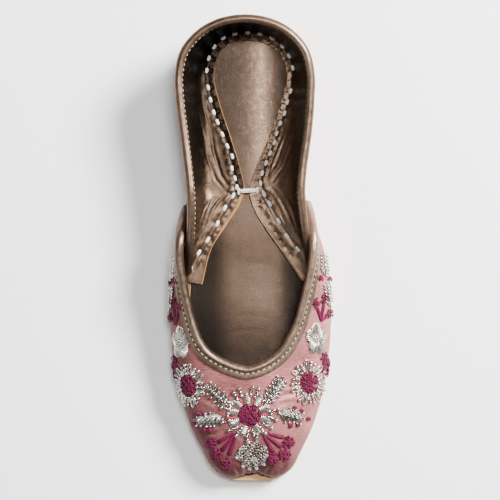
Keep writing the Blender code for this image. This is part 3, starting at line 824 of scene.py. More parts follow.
def build_vamp():
    outward = np.array([-vamp_foot(row)[1] for row in VAMP_ROWS])
    plain = vamp_grid(VAMP_SHARES)
    normals = grid_normals(plain, outward + np.array((0.0, 0.0, 0.8)))
    outer = plain + normals * vamp_relief(plain, VAMP_SHARES)[..., None]
    rings = []
    for number, row in enumerate(VAMP_ROWS):
        foot, inward = vamp_foot(row)
        heel = foot + inward * WALL
        raw = heel + inward * margin_width(row)
        height = plain[number, :, 2] - np.array([lift(y) for y in plain[number, :, 1]])
        start = float(np.interp(VAMP_MARGIN_TOP + 0.6 * MM, height[:60], VAMP_SHARES[:60]))
        chosen = np.linspace(1.0, start, 30)
        inner = curve(vamp_controls(row), chosen)
        facing = np.stack([np.interp(chosen, VAMP_SHARES, normals[number, :, k]) for k in range(3)], axis=-1)
        inner = inner - unit_rows(facing) * WALL
        edge = outer[number, -1] * 0.5 + inner[0] * 0.5 + (outer[number, -1] - outer[number, -2]) * 0.25
        margin = [
            raised(heel, VAMP_MARGIN_TOP),
            raised(heel * 0.5 + raw * 0.5, VAMP_MARGIN_TOP),
            raised(raw - inward * 0.3 * MM, VAMP_MARGIN_TOP),
            raised(raw, VAMP_MARGIN_TOP - 0.3 * MM),
            raised(raw, INSOLE_TOP + GAP),
            raised(heel, INSOLE_TOP + GAP),
            raised(heel, UPPER_FOOT),
        ]
        rings.append(np.concatenate((outer[number], edge[None], inner, np.array(margin))))
    rings = np.array(rings)
    slots = [0] * len(VAMP_SHARES) + [1] * 33 + [2] * 4 + [0]
    piece = make_loft("satin_vamp", rings, [SATIN, LINING, TAN], slots)
    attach(piece, "root")
    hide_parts("upper_vamp")
    # Painted shadow: a near-black rod just in front of the satin at the toe stands in for the shadow gap between the
    # upper and the sole.
    toe_shadow = Heap("painted_toe_shadow", PAINTED_SHADE)
    middle = along(FEATHER_POINTS, 0.0, closed=True)
    toe = outer[(np.abs(outer[:, 0, 0] - middle[0]) < 9.5 * MM) & (outer[:, 0, 1] < middle[1] + 5 * MM)][::4]
    front = toe[:, 0].copy()
    front[:, 1] = toe[:, :30, 1].min(axis=1) - 0.30 * MM
    front[:, 2] += 0.25 * MM
    toe_shadow.rod(front, 0.62 * MM * bell(front[:, 0] - middle[0], 6.5 * MM) + 0.05 * MM, 6)
    toe_shadow.finish("upper_vamp")
    return plain, normals, outer


# Quarters
QUARTER_ROWS = np.linspace(FIRST_QUARTER_ROW, 2 * ROWS - FIRST_QUARTER_ROW, 561)
QUARTER_SHARES = np.linspace(0.0, 1.0, 40)
LINING_COUNT = 96

# Creases of the lining, each as depth in mm, half width in pixels and a line of the picture
LINING_CREASES = (
    (0.18, 1.0, ((106, 20), (108, 48), (114, 80), (121, 104))),
    (0.16, 1.0, ((110, 14), (114, 44), (120, 72), (126, 96))),
    (0.17, 1.1, ((117, 10), (121, 38), (127, 66), (134, 92))),
    (0.15, 1.0, ((124, 12), (128, 36), (133, 58))),
    (0.36, 1.5, ((137, 60), (141, 90), (150, 120), (160, 135))),
    (0.22, 1.2, ((128, 78), (134, 102), (144, 126), (156, 140))),
    (0.30, 1.4, ((157, 143), (147, 152), (138, 165), (133, 185))),
    (0.24, 1.2, ((150, 144), (140, 150), (133, 164), (128, 182))),
    (0.18, 1.1, ((138, 148), (128, 164), (122, 184))),
    (0.15, 1.0, ((126, 190), (119, 206), (115, 222))),
    (0.36, 1.5, ((226, 70), (218, 88), (212, 104), (205, 126))),
    (0.26, 1.3, ((234, 60), (226, 84), (218, 104), (209, 122))),
    (0.20, 1.1, ((243, 52), (238, 80), (228, 108), (214, 128))),
    (0.16, 1.0, ((250, 40), (247, 70), (241, 98))),
    (0.33, 1.4, ((203, 138), (213, 148), (221, 162), (232, 186))),
    (0.26, 1.2, ((212, 136), (222, 148), (231, 166), (240, 190))),
    (0.20, 1.1, ((222, 136), (233, 152), (240, 170), (246, 192))),
    (0.15, 1.0, ((236, 140), (242, 156), (248, 176))),
)

# White running stitches of the margin, from the heel side to its front end, and the pull of the tie
OUTER_STITCHES = (
    (134.8, 12), (137.5, 27.6), (142, 42.7), (145.7, 56.3), (153, 69.7), (158.5, 83.6), (162.3, 98),
    (164, 111), (166.6, 123), (168, 135), (164.5, 145), (155.5, 160), (144.5, 179.3), (134, 199.6),
    (123, 216), (113, 236),
)
INNER_STITCHES = (
    (235.4, 16.4), (231.5, 31), (227.3, 43.6), (222, 56.3), (217.5, 69), (215.4, 79.6), (209.6, 92.7),
    (204.4, 105.2), (200.3, 117.2), (197.5, 129.7), (202.7, 144.2), (208.5, 156), (219.6, 175.8),
    (232.2, 194.7), (244.5, 211.8),
)
TIE_ENDS = ((170.6, 140.6), (195.4, 139.4))
HEEL_STITCH_STEP = 6.8 * MM
STITCH_FROM_EDGE = 4.2 * MM
HEEL_STITCH_ROWS = (17.35, 22.65)


def heel_stitches():
    """Places of the stitches behind the picture's edge, carried on round the heel inside the raw edge."""
    rows = np.linspace(*HEEL_STITCH_ROWS, 160)
    line = []
    for row in rows:
        raw = along(RAW_EDGE_POINTS, 2 * ROWS - FIRST_QUARTER_ROW - row)
        _, inward = outline(row)
        line.append(raised(raw - inward * STITCH_FROM_EDGE, VAMP_MARGIN_TOP))
    line = np.array(line)
    length = np.concatenate(((0.0,), np.cumsum(np.linalg.norm(np.diff(line, axis=0), axis=1))))
    count = int(length[-1] / HEEL_STITCH_STEP) + 1
    at = np.linspace(0.0, length[-1], count)
    spots = np.stack([np.interp(at, length, line[:, k]) for k in range(3)], axis=-1)
    return photo_place(spots).tolist()


def lining_relief(grid, stitches):
    """The lining's relief: creases, hollows at the stitches, and the leather swelling between them."""
    places = photo_place(grid)
    height = folded(places, LINING_CREASES) + 0.22 * MM * cloud(grid, 15 * MM, 6) + 0.07 * MM * cloud(grid, 4 * MM, 8)
    for x, y in stitches:
        distance = np.linalg.norm(places - np.array((x, y)), axis=-1)
        height = height - 0.42 * MM * bell(distance, 2.0)
    distance, share = line_distance(places, stitches)
    beat = np.cos(2 * np.pi * share * (len(stitches) - 1))
    height = height - 0.30 * MM * bell(distance, 1.7)
    return height + 0.18 * MM * bell(distance - 4.6, 1.9) * (0.75 - beat)


def edge_scallops(grid, stitches):
    """The second row of small puckers, between the stitches and the raw edge."""
    places = photo_place(grid)
    raw = places[:, -1]
    height = np.zeros(grid.shape[:-1])
    for first, second in zip(stitches[:-1], stitches[1:]):
        middle = (np.array(first) + np.array(second)) / 2
        if np.linalg.norm(np.array(first) - np.array(second)) > 30:
            continue
        for share, spot in ((0.55, middle), (0.62, np.array(first))):
            nearest = raw[np.argmin(np.linalg.norm(raw - spot, axis=-1))]
            distance = np.linalg.norm(places - (spot + (nearest - spot) * share), axis=-1)
            height = height - 0.30 * MM * bell(distance, 1.5)
    return height


def raw_bevel(row):
    """How far the raw edge is pared back. It is widest on the outer side in front of the tie."""
    wide = smooth_step(row, FIRST_QUARTER_ROW + 1.0, FIRST_QUARTER_ROW + 2.0)
    wide = wide * (1.0 - smooth_step(row, TIE_ROW - 0.6, TIE_ROW + 0.4))
    return 0.35 * MM + 1.1 * MM * wide


def build_quarters():
    plain = np.array([curve(quarter_controls(row), QUARTER_SHARES) for row in QUARTER_ROWS])
    outward = np.array([-outline(row)[1] for row in QUARTER_ROWS])
    normals = grid_normals(plain, outward)
    hold = np.clip((0.9 - QUARTER_SHARES) / 0.15, 0.0, 1.0)[None, :, None]
    swell = (0.35 * MM * cloud(plain, 24 * MM, 9) + 0.10 * MM * cloud(plain, 8 * MM, 10))[..., None]
    outer = plain + normals * swell * hold
    shares = np.linspace(0.0, 1.0, LINING_COUNT)
    lining, tails = [], []
    for number, row in enumerate(QUARTER_ROWS):
        inset, step = quarter_inset(row)
        climb = 1.0 - smooth_step(side_row(row), WING_ROW - 1.8, WING_ROW + 1.2)
        bottom = INSOLE_TOP + GAP + climb * (MARGIN_THICKNESS + GAP)
        top = bottom + MARGIN_THICKNESS
        foot, inward = outline(row, inset + WALL)
        raw = along(RAW_EDGE_POINTS, 2 * ROWS - FIRST_QUARTER_ROW - row)
        pull = TIE_LIFT * np.exp(-((side_row(row) - TIE_ROW) / 1.6) ** 2)
        direction = unit((raw - foot) * np.array((1.0, 1.0, 0.0)))
        corner = foot + direction * 0.2 * MM
        pared = raw - direction * raw_bevel(row)
        high = plain[number, -1] - normals[number, -1] * WALL
        turn = raised(corner, top)
        end = raised(pared, top + pull)
        lining.append(curve((high, high + (turn - high) * 0.88, turn + (end - turn) * 0.10, end), shares))
        middle = (corner + raw) / 2
        tails.append([
            raised(pared * 0.45 + raw * 0.55, top + pull - MARGIN_THICKNESS * 0.35),
            raised(raw, bottom + pull + MARGIN_THICKNESS * 0.3),
            raised(raw - direction * 0.15 * MM, bottom + pull),
            raised(middle, bottom + pull * 0.4),
            raised(corner, bottom),
            raised(corner, UPPER_FOOT + step),
        ])
    lining = np.array(lining)
    tails = np.array(tails)
    facing = grid_normals(lining, -outward + np.array((0.0, 0.0, 0.5)))
    heel = heel_stitches()
    stitches = list(INNER_STITCHES)[::-1] + heel[::-1] + list(OUTER_STITCHES)
    fade = np.clip(shares / 0.06, 0.0, 1.0)[None, :] * np.clip((1.0 - shares) / 0.02, 0.25, 1.0)[None, :]
    relief = lining_relief(lining, stitches) + edge_scallops(lining, stitches)
    lining = lining + facing * (relief * fade)[..., None]
    edge = (outer[:, -1] + lining[:, 0]) / 2 + (outer[:, -1] - outer[:, -2]) * 0.15
    rings = np.concatenate((outer, edge[:, None], lining, tails), axis=1)
    slots = [0] * len(QUARTER_SHARES) + [1] * LINING_COUNT + [2] * 6 + [0]
    piece = make_loft("bronze_quarters", rings, [PLAIN_SATIN, LINING, TAN], slots)
    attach(piece, "root")
    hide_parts("upper_quarters")
    return plain, normals, lining, facing, heel


# Bindings
class Edge:
    """The upper edge of a wall, and places laid over it at distances down the wall and out from it."""

    def __init__(self, plain, normals, deepest):
        self.points = plain[:, -1]
        self.normals = normals[:, -1]
        tangents = unit_rows(np.gradient(self.points, axis=0))
        down = unit_rows(np.cross(self.normals, tangents))
        below = plain[:, -4] - plain[:, -1]
        self.down = down * np.sign((down * below).sum(axis=-1))[:, None]
        self.tangents = tangents
        tall = np.linalg.norm(plain[:, 0] - plain[:, -1], axis=-1)
        self.fit = np.minimum(1.0, tall / (deepest + 3.5 * MM))
        upper = plain.shape[1] // 3
        self.wall = plain[:, upper:].reshape(-1, 3)
        self.facing = normals[:, upper:].reshape(-1, 3)
        self.tree = KDTree(len(self.wall))
        for number, point in enumerate(self.wall.tolist()):
            self.tree.insert(point, number)
        self.tree.balance()
        steps = np.linalg.norm(np.diff(self.points, axis=0), axis=1)
        self.length = np.concatenate(((0.0,), np.cumsum(steps)))

    def spot(self, number, depth, out):
        """The place and the outward normal at one row."""
        point = self.points[number] + self.down[number] * depth * self.fit[number]
        facing = self.normals[number]
        if depth > 0:
            _, nearest, _ = self.tree.find(point)
            facing = self.facing[nearest]
            point = point - facing * np.dot(point - self.wall[nearest], facing)
        return point + facing * out, facing

    def path(self, depth, out):
        """A line along the edge, with its normals and the length run along it."""
        found = [self.spot(number, depth, out) for number in range(len(self.points))]
        line = np.array([point for point, _ in found])
        facing = np.array([normal for _, normal in found])
        steps = np.linalg.norm(np.diff(line, axis=0), axis=1)
        return line, facing, np.concatenate(((0.0,), np.cumsum(steps)))


def rounded(profile, count):
    """The closed profile with extra points on its curved side, between the first and the last marked place."""
    dense = []
    for number, (depth, out, soft) in enumerate(profile):
        dense.append((depth, out))
        after = profile[(number + 1) % len(profile)]
        if not (soft and after[2]):
            continue
        before = profile[number - 1]
        later = profile[(number + 2) % len(profile)]
        a, b, c, d = (np.array(item[:2]) for item in (before, (depth, out), after, later))
        for t in np.linspace(0.0, 1.0, count + 1)[1:-1]:
            point = 0.5 * (
                2 * b + (c - a) * t + (2 * a - 5 * b + 4 * c - d) * t * t + (3 * b - a - 3 * c + d) * t ** 3
            )
            dense.append(tuple(point))
    return dense


def binding_profile(depth, inner_depth, roll):
    """The section of a binding as distance down the wall, distance out from its face, and whether it
    is on the curved side: an outer flap, a groove for the stitches, a plump roll and an inner flap."""
    over = GAP + BINDING_LEATHER
    bead = over + roll * 0.75
    back = WALL + GAP + BINDING_LEATHER
    return (
        (depth * 0.66, GAP, False),
        (depth, GAP, False),
        (depth, over * 0.85, False),
        (depth * 0.95, over, True),
        (depth * 0.78, over * 1.08, True),
        (roll * 4.0, over, True),
        (roll * 3.3, over * 0.92, True),
        (roll * 2.5, bead * 0.93, True),
        (roll * 1.2, bead * 1.08, True),
        (-roll * 0.3, bead * 0.62, True),
        (-over * 1.15, -WALL * 0.4, True),
        (-roll * 0.6, -WALL - bead * 0.62, True),
        (roll * 0.8, -back - roll * 0.3, True),
        (inner_depth * 0.8, -back, True),
        (inner_depth, -back, False),
        (inner_depth, -WALL - GAP, False),
        (inner_depth * 0.45, -WALL - GAP, False),
        (-GAP, -WALL - GAP, False),
        (-GAP, GAP, False),
        (depth * 0.33, GAP, False),
    )


def build_binding(name, node, edge, profile, material):
    section = rounded(profile, 5)
    rings = []
    for number in range(len(edge.points)):
        rings.append([edge.spot(number, depth, out)[0] for depth, out in section])
    rings = np.array(rings)
    middle = rings.mean(axis=1, keepdims=True)
    away = unit_rows(rings - middle)
    rings = rings + away * (0.09 * MM * cloud(rings, 9 * MM, 12) + 0.04 * MM * cloud(rings, 3 * MM, 13))[..., None]
    piece = make_loft(name, rings, [material], [0] * rings.shape[1], sharp=1.1)
    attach(piece, "root")
    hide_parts(node)


# Thread, beads and wire
class Heap:
    """Many small closed shapes of one material, gathered into one mesh."""

    def __init__(self, name, material, smooth=True):
        self.name = name
        self.material = material
        self.smooth = smooth
        self.points = []
        self.faces = []
        self.count = 0

    def add(self, points, faces):
        self.points.append(np.asarray(points))
        self.faces.extend((np.asarray(faces) + self.count).tolist())
        self.count += len(points)

    def rod(self, line, radius, sides=6, flat=1.0, facing=None):
        """A rod along a line, with one radius or one for each point, and rounded ends."""
        line = np.asarray(line, dtype=float)
        radii = np.full(len(line), radius) if np.isscalar(radius) else np.asarray(radius)
        along_line = unit_rows(np.gradient(line, axis=0))
        up = np.array((0.0, 0.0, 1.0)) if facing is None else np.asarray(facing)
        up = np.broadcast_to(up, line.shape)
        side = unit_rows(np.cross(along_line, up))
        side = np.where(np.linalg.norm(np.cross(along_line, up), axis=-1)[:, None] < 1e-6, (1.0, 0.0, 0.0), side)
        top = np.cross(side, along_line)
        first = line[0] - along_line[0] * radii[0] * 0.6
        last = line[-1] + along_line[-1] * radii[-1] * 0.6
        centres = np.concatenate((first[None], line, last[None]))
        sizes = np.concatenate(((radii[0] * 0.45,), radii, (radii[-1] * 0.45,)))
        side = np.concatenate((side[:1], side, side[-1:]))
        top = np.concatenate((top[:1], top, top[-1:]))
        turns = np.arange(sides) * 2 * np.pi / sides
        ring = np.cos(turns)[None, :, None] * side[:, None] + flat * np.sin(turns)[None, :, None] * top[:, None]
        points = (centres[:, None] + ring * sizes[:, None, None]).reshape(-1, 3)
        rings = len(centres)
        index = np.arange(rings * sides).reshape(rings, sides)
        after = np.roll(index, -1, axis=1)
        quads = np.stack((index[:-1], after[:-1], after[1:], index[1:]), axis=-1).reshape(-1, 4)
        caps = []
        for ends in (index[0, ::-1], index[-1]):
            for step in range(1, sides - 2, 2):
                caps.append((ends[0], ends[step], ends[step + 1], ends[step + 2]))
        self.add(points, np.concatenate((quads, np.array(caps))))

    def ball(self, centre, radius, normal=(0.0, 0.0, 1.0), squash=1.0, rounds=5, sides=8):
        """A bead, which may be flattened along the normal."""
        normal = unit(np.asarray(normal, dtype=float))
        side = unit(np.cross(normal, (0.31, 0.87, 0.11)))
        other = np.cross(normal, side)
        tilts = (np.arange(rounds) + 0.5) / rounds * np.pi
        turns = np.arange(sides) * 2 * np.pi / sides
        flat = np.cos(turns)[None, :, None] * side + np.sin(turns)[None, :, None] * other
        points = np.sin(tilts)[:, None, None] * flat + squash * np.cos(tilts)[:, None, None] * normal
        points = (np.asarray(centre) + radius * points).reshape(-1, 3)
        index = np.arange(rounds * sides).reshape(rounds, sides)
        after = np.roll(index, -1, axis=1)
        quads = np.stack((index[:-1], index[1:], after[1:], after[:-1]), axis=-1).reshape(-1, 4)
        caps = []
        for ends in (index[0], index[-1, ::-1]):
            for step in range(1, sides - 2, 2):
                caps.append((ends[0], ends[step], ends[step + 1], ends[step + 2]))
        self.add(points, np.concatenate((quads, np.array(caps))))

    def finish(self, slot):
        if not self.count:
            return
        points = np.concatenate(self.points)
        piece = make_mesh(self.name, points, self.faces, [self.material], smooth=self.smooth, sharp=1.2)
        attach(piece, "root")


def at_length(line, facing, length, where):
    """The point and the normal at a length run along a line."""
    point = np.array([np.interp(where, length, line[:, k]) for k in range(3)])
    normal = np.array([np.interp(where, length, facing[:, k]) for k in range(3)])
    return point, unit(normal)


def sew(heap, shade_marks, edge, depth, out, pitch, share, radius, spans=((0.0, 1.0),), sink=0.35):
    """A row of running stitches laid along an edge: each dips into the leather at both ends."""
    line, facing, length = edge.path(depth, out)
    total = length[-1]
    random = np.random.default_rng(int(depth * 1e6) + int(pitch * 1e6))
    count = int(total / pitch)
    for number in range(count):
        middle = (number + 0.5) * total / count
        if not any(low <= middle / total <= high for low, high in spans):
            continue
        half = pitch * share * 0.5 * (1 + 0.10 * random.standard_normal())
        spots = []
        for t in np.linspace(-1.0, 1.0, 6):
            point, normal = at_length(line, facing, length, np.clip(middle + t * half, 0.0, total))
            spots.append(point + normal * radius * (0.5 - (1.0 + sink) * abs(t) ** 3))
        _, normal = at_length(line, facing, length, middle)
        heap.rod(spots, radius * (1 + 0.06 * random.standard_normal()), 6, 0.8, normal)
        # A near-black disc paints the shade in the stitch hole.
        point, normal = at_length(line, facing, length, np.clip(middle + pitch * 0.5, 0.0, total))
        shade_marks.ball(point - normal * radius * 0.15, radius * 1.55, normal, 0.42, 4, 8)


def lining_places(lining, normals, places):
    """Points and normals of the lining under places of the picture."""
    flat = photo_place(lining).reshape(-1, 2)
    points, facing = lining.reshape(-1, 3), normals.reshape(-1, 3)
    found = []
    for place in places:
        distance = np.linalg.norm(flat - np.asarray(place), axis=-1)
        near = np.argsort(distance)[:4]
        near = near[np.argmax(points[near, 2])]
        found.append((points[near], facing[near]))
    return found


# Behind this place the margin's stitches are shorter
TIE_BACK = 32.0 * MM


def white_stitches(lining, normals, heel):
    """The heavy white running stitches of the quarters' margin, with near-black discs painting the shade in the holes
    they are pulled into.
    """
    thread = Heap("white_stitches", WHITE_THREAD)
    shade_marks = Heap("white_stitch_holes", PAINTED_SHADE)
    for line in (list(INNER_STITCHES), list(OUTER_STITCHES), heel):
        spots = lining_places(lining, normals, line)
        for number, (point, normal) in enumerate(spots):
            before = spots[max(number - 1, 0)][0]
            after = spots[min(number + 1, len(spots) - 1)][0]
            direction = unit(after - before)
            direction = unit(direction - normal * np.dot(direction, normal))
            half = (1.15 if point[1] > TIE_BACK else 1.5) * MM
            rod = []
            for t in np.linspace(-1.0, 1.0, 7):
                rod.append(point + direction * t * half + normal * (0.55 - 0.75 * abs(t) ** 3) * MM)
            thread.rod(rod, 0.92 * MM, 8, 0.8, normal)
            # Near-black discs paint the shade in the stitch holes.
            for end in (-1.0, 1.0):
                shade_marks.ball(point + direction * end * (half + 0.55 * MM) + normal * 0.02 * MM, 0.62 * MM, normal, 0.4, 4, 8)
    thread.finish("upper_quarters")
    shade_marks.finish("upper_quarters")


def tie_bar(lining, normals):
    """The short white thread that ties the two margins together over the insole."""
    thread = Heap("tie_thread", WHITE_THREAD)
    (first, first_normal), (last, last_normal) = lining_places(lining, normals, TIE_ENDS)
    for offset, height, radius in ((0.0, 0.95, 0.62), (0.75, 0.7, 0.5), (-0.7, 0.65, 0.5)):
        line = []
        for t in np.linspace(0.0, 1.0, 14):
            point = first + (last - first) * t
            hump = height + 0.5 * math.sin(math.pi * t) - 1.5 * abs(2 * t - 1) ** 8
            point = point + np.array((0.0, offset * MM * math.sin(math.pi * min(max(t, 0.04), 0.96)) ** 0.4, hump * MM))
            line.append(point)
        thread.rod(line, radius * MM, 8)
    for (point, normal), turn in (((first, first_normal), 1.0), ((last, last_normal), -1.0)):
        for step in (-0.5, 0.5):
            line = []
            for t in np.linspace(-1.0, 1.0, 6):
                line.append(point + np.array((turn * (0.2 + step * 0.5), t * 1.5, 0.7 - 0.5 * t * t)) * MM)
            thread.rod(line, 0.45 * MM, 6)
    thread.finish("upper_quarters")


def binding_stitches(vamp_edge, quarter_edge):
    thread = Heap("cream_stitches", CREAM_THREAD)
    shade_marks = Heap("cream_stitch_holes_and_shadow_lines", PAINTED_SHADE)
    over = GAP + BINDING_LEATHER
    sew(thread, shade_marks, vamp_edge, BINDING_ROLL * 3.7, over, 3.0 * MM, 0.58, 0.30 * MM)
    inner = -(WALL + GAP + BINDING_LEATHER)
    under_vamp = Heap("cream_stitches_inside", CREAM_THREAD)
    sew_inside(under_vamp, shade_marks, vamp_edge, VAMP_BINDING_INNER_DEPTH * 0.72, inner, 3.0 * MM, 0.58, 0.28 * MM)
    sew_inside(under_vamp, shade_marks, quarter_edge, QUARTER_BINDING_DEPTH * 0.66, inner, 2.7 * MM, 0.60, 0.36 * MM)
    sew(thread, shade_marks, quarter_edge, QUARTER_BINDING_DEPTH * 0.72, over, 2.7 * MM, 0.56, 0.26 * MM)
    # Painted shadow: near-black rods along both stitch lines paint a shadow line under the stitches.
    for edge, depth, out in (
        (vamp_edge, BINDING_ROLL * 3.7, over - 0.06 * MM),
        (quarter_edge, QUARTER_BINDING_DEPTH * 0.66, inner + 0.06 * MM),
    ):
        line, facing, _ = edge.path(depth, out)
        shade_marks.rod(line[6:-6:2], 0.27 * MM, 6, 0.7, facing[6:-6:2])
    thread.finish("vamp_binding")
    under_vamp.finish("quarter_binding")
    shade_marks.finish("quarter_binding")


def sew_inside(heap, shade_marks, edge, depth, out, pitch, share, radius):
    """The same row of stitches on the lining's side of the edge."""
    line, facing, length = edge.path(depth, out)
    total = length[-1]
    random = np.random.default_rng(int(depth * 1e7))
    count = int(total / pitch)
    for number in range(count):
        middle = (number + 0.5) * total / count
        half = pitch * share * 0.5 * (1 + 0.10 * random.standard_normal())
        spots = []
        for t in np.linspace(-1.0, 1.0, 6):
            point, normal = at_length(line, facing, length, np.clip(middle + t * half, 0.0, total))
            spots.append(point - normal * radius * (0.5 - 1.35 * abs(t) ** 3))
        _, normal = at_length(line, facing, length, middle)
        heap.rod(spots, radius, 6, 0.8, -normal)
        # A near-black disc paints the shade in the stitch hole.
        point, normal = at_length(line, facing, length, np.clip(middle + pitch * 0.5, 0.0, total))
        shade_marks.ball(point + normal * radius * 0.20, radius * 1.25, normal, 0.45, 4, 8)


# Embroidery. Its places are places of the photograph's picture, in pixels, laid on the vamp below them.
class Cloth:
    """The vamp's outer face, found from places of the picture or from points near it."""

    def __init__(self, grid):
        self.skin = grid_skin(grid)

    def at(self, x, y):
        for step in range(80):
            origin, direction = photo_ray(x + (TOE_MIDDLE[0] - x) * 0.005 * step, y)
            point, normal, _, _ = self.skin.ray_cast(origin, direction)
            if point is not None:
                normal = normal if normal.dot(direction) < 0 else -normal
                return np.array(point), np.array(normal)
        raise ValueError("no cloth under this place")

    def mirrored(self, x, y):
        """The same place on the shoe's outer side, where the pattern is repeated in mirror image."""
        point, _ = self.at(x, y)
        other = Vector((2 * MIRROR_OFFSET - point[0], point[1] + MIRROR_SHIFT, point[2]))
        found, normal, _, _ = self.skin.find_nearest(other)
        outward = Vector((-1.0, 0.0, 0.7))
        normal = normal if normal.dot(outward) > 0 else -normal
        return np.array(found), np.array(normal)


TOE_MIDDLE = (186.0, 440.0)
MIRROR_OFFSET = -1.2 * MM
MIRROR_SHIFT = -1.9 * MM


class Embroidery:
    def __init__(self):
        self.random = np.random.default_rng(20)
        self.beads = Heap("silver_beads", SILVER)
        self.wire = Heap("coiled_silver_wire", WIRE)
        self.pale = Heap("pale_coiled_wire", PALE)
        self.magenta = Heap("magenta_embroidery", MAGENTA)
        self.coral = Heap("coral_stitches", CORAL)
        self.crystals = Heap("crystals", CRYSTAL, smooth=False)

    def finish(self):
        for heap in (self.beads, self.wire, self.pale, self.magenta, self.coral, self.crystals):
            heap.finish("upper_vamp")

    def line(self, place, start, end, count, height, hump=0.0, dip=0.0):
        """Points laid over the cloth between two places, with the normals there."""
        points, normals = [], []
        for t in np.linspace(0.0, 1.0, count):
            point, normal = place(start[0] + (end[0] - start[0]) * t, start[1] + (end[1] - start[1]) * t)
            rise = height + hump * (1 - (2 * t - 1) ** 2) - dip * abs(2 * t - 1) ** 5
            points.append(point + normal * rise)
            normals.append(normal)
        return np.array(points), np.array(normals)

    def bead(self, place, x, y, radius=0.86 * MM, height=0.75):
        point, normal = place(x, y)
        self.beads.ball(point + normal * radius * height, radius, normal, 0.86, 6, 9)

    def bugle(self, place, start, end, radius=0.58 * MM):
        points, normals = self.line(place, start, end, 4, radius * 0.9)
        self.beads.rod(points, radius, 8, 1.0, normals)

    def coil(self, heap, place, start, end, radius, hump=0.35 * MM, dip=0.35 * MM):
        """A cut length of fine coiled wire sewn down like a bead."""
        points, normals = self.line(place, start, end, 11, radius * 0.95, hump, dip)
        rings = np.repeat(points, 2, axis=0)[:-1]
        rings[1::2] = (points[:-1] + points[1:]) / 2
        sizes = radius * np.where(np.arange(len(rings)) % 2 == 0, 1.0, 0.80)
        facing = np.repeat(normals, 2, axis=0)[:-1]
        heap.rod(rings, sizes, 7, 0.9, facing)

    def loop(self, heap, place, start, end, width, radius, height=0.25 * MM, count=15):
        """A narrow closed loop of wire or thread, as one small leaf."""
        start, end = np.array(start, dtype=float), np.array(end, dtype=float)
        ahead = end - start
        across = np.array((-ahead[1], ahead[0])) / max(np.linalg.norm(ahead), 1e-6)
        points, normals = [], []
        for turn in np.linspace(0.0, 2 * np.pi, count):
            spot = start + ahead * (1 - math.cos(turn)) / 2 + across * width * math.sin(turn)
            point, normal = place(*spot)
            points.append(point + normal * (radius + height * abs(math.sin(turn / 2))))
            normals.append(normal)
        heap.rod(points, radius, 6, 0.9, normals)

    def knots(self, place, centre, radius_x, radius_y, turn=0.0, dome=0.9 * MM, pitch=2.9):
        """A patch filled with small curled knots of thread on a raised ground."""
        area = math.pi * radius_x * radius_y
        count = max(int(area / (pitch * pitch * 0.86)), 3)
        cos_turn, sin_turn = math.cos(turn), math.sin(turn)
        for number in range(count):
            share = math.sqrt((number + 0.5) / count)
            angle = number * 2.39996 + self.random.uniform(-0.25, 0.25)
            x, y = share * radius_x * math.cos(angle), share * radius_y * math.sin(angle)
            x, y = centre[0] + x * cos_turn - y * sin_turn, centre[1] + x * sin_turn + y * cos_turn
            base = dome * (1 - share ** 2.4)
            point, normal = place(x, y)
            self.magenta.ball(point + normal * (base * 0.8), 0.62 * MM, normal, 0.55, 4, 7)
            curl = self.random.uniform(1.15, 1.6)
            first = self.random.uniform(0.0, 2 * math.pi)
            sweep = self.random.uniform(2.8, 4.6)
            points, normals = [], []
            for t in np.linspace(0.0, 1.0, 7):
                bend = first + sweep * t
                point, normal = place(x + curl * math.cos(bend), y + curl * math.sin(bend))
                rise = base + (0.42 + 0.34 * math.sin(math.pi * t)) * MM
                points.append(point + normal * rise)
                normals.append(normal)
            self.magenta.rod(points, 0.33 * MM, 6, 1.0, normals)

    def round_knot(self, place, x, y, radius):
        """One round knot of thread wound over itself."""
        point, normal = place(x, y)
        self.magenta.ball(point + normal * radius * 0.4, radius, normal, 0.72, 6, 10)
        for number in range(3):
            first = number * 2.1 + x
            points, normals = [], []
            for t in np.linspace(0.0, 1.0, 7):
                bend = first + 2.6 * t
                reach = radius / MM / 0.442 * (0.42 + 0.16 * number)
                point, normal = place(x + reach * math.cos(bend), y + reach * math.sin(bend))
                points.append(point + normal * radius * (1.12 - 0.14 * number))
                normals.append(normal)
            self.magenta.rod(points, 0.30 * MM, 6, 1.0, normals)

    def stem(self, place, start, end, start_width, end_width):
        """A tapering bar of satin stitch: threads side by side over a padded middle."""
        start, end = np.array(start, dtype=float), np.array(end, dtype=float)
        ahead = (end - start) / max(np.linalg.norm(end - start), 1e-6)
        across = np.array((-ahead[1], ahead[0]))
        threads = 5
        for number in range(threads):
            offset = (number / (threads - 1) - 0.5)
            points, normals = [], []
            for t in np.linspace(0.0, 1.0, 9):
                width = start_width + (end_width - start_width) * t
                wave = 0.12 * math.sin(9 * t + number * 2.1)
                spot = start + (end - start) * t + across * (offset * width + wave)
                point, normal = place(*spot)
                rise = 0.30 + 0.42 * (1 - (2 * offset) ** 2) - 0.30 * abs(2 * t - 1) ** 6
                points.append(point + normal * rise * MM)
                normals.append(normal)
            sizes = np.linspace(0.26, 0.36, 9) * MM * (0.5 + 0.5 * end_width / 4.0)
            self.magenta.rod(points, sizes, 6, 0.9, normals)

    def coral_stitch(self, place, start, end, radius=0.40 * MM):
        points, normals = self.line(place, start, end, 7, radius * 0.6, 0.15 * MM, 0.35 * MM)
        self.coral.rod(points, radius, 7, 0.85, normals)

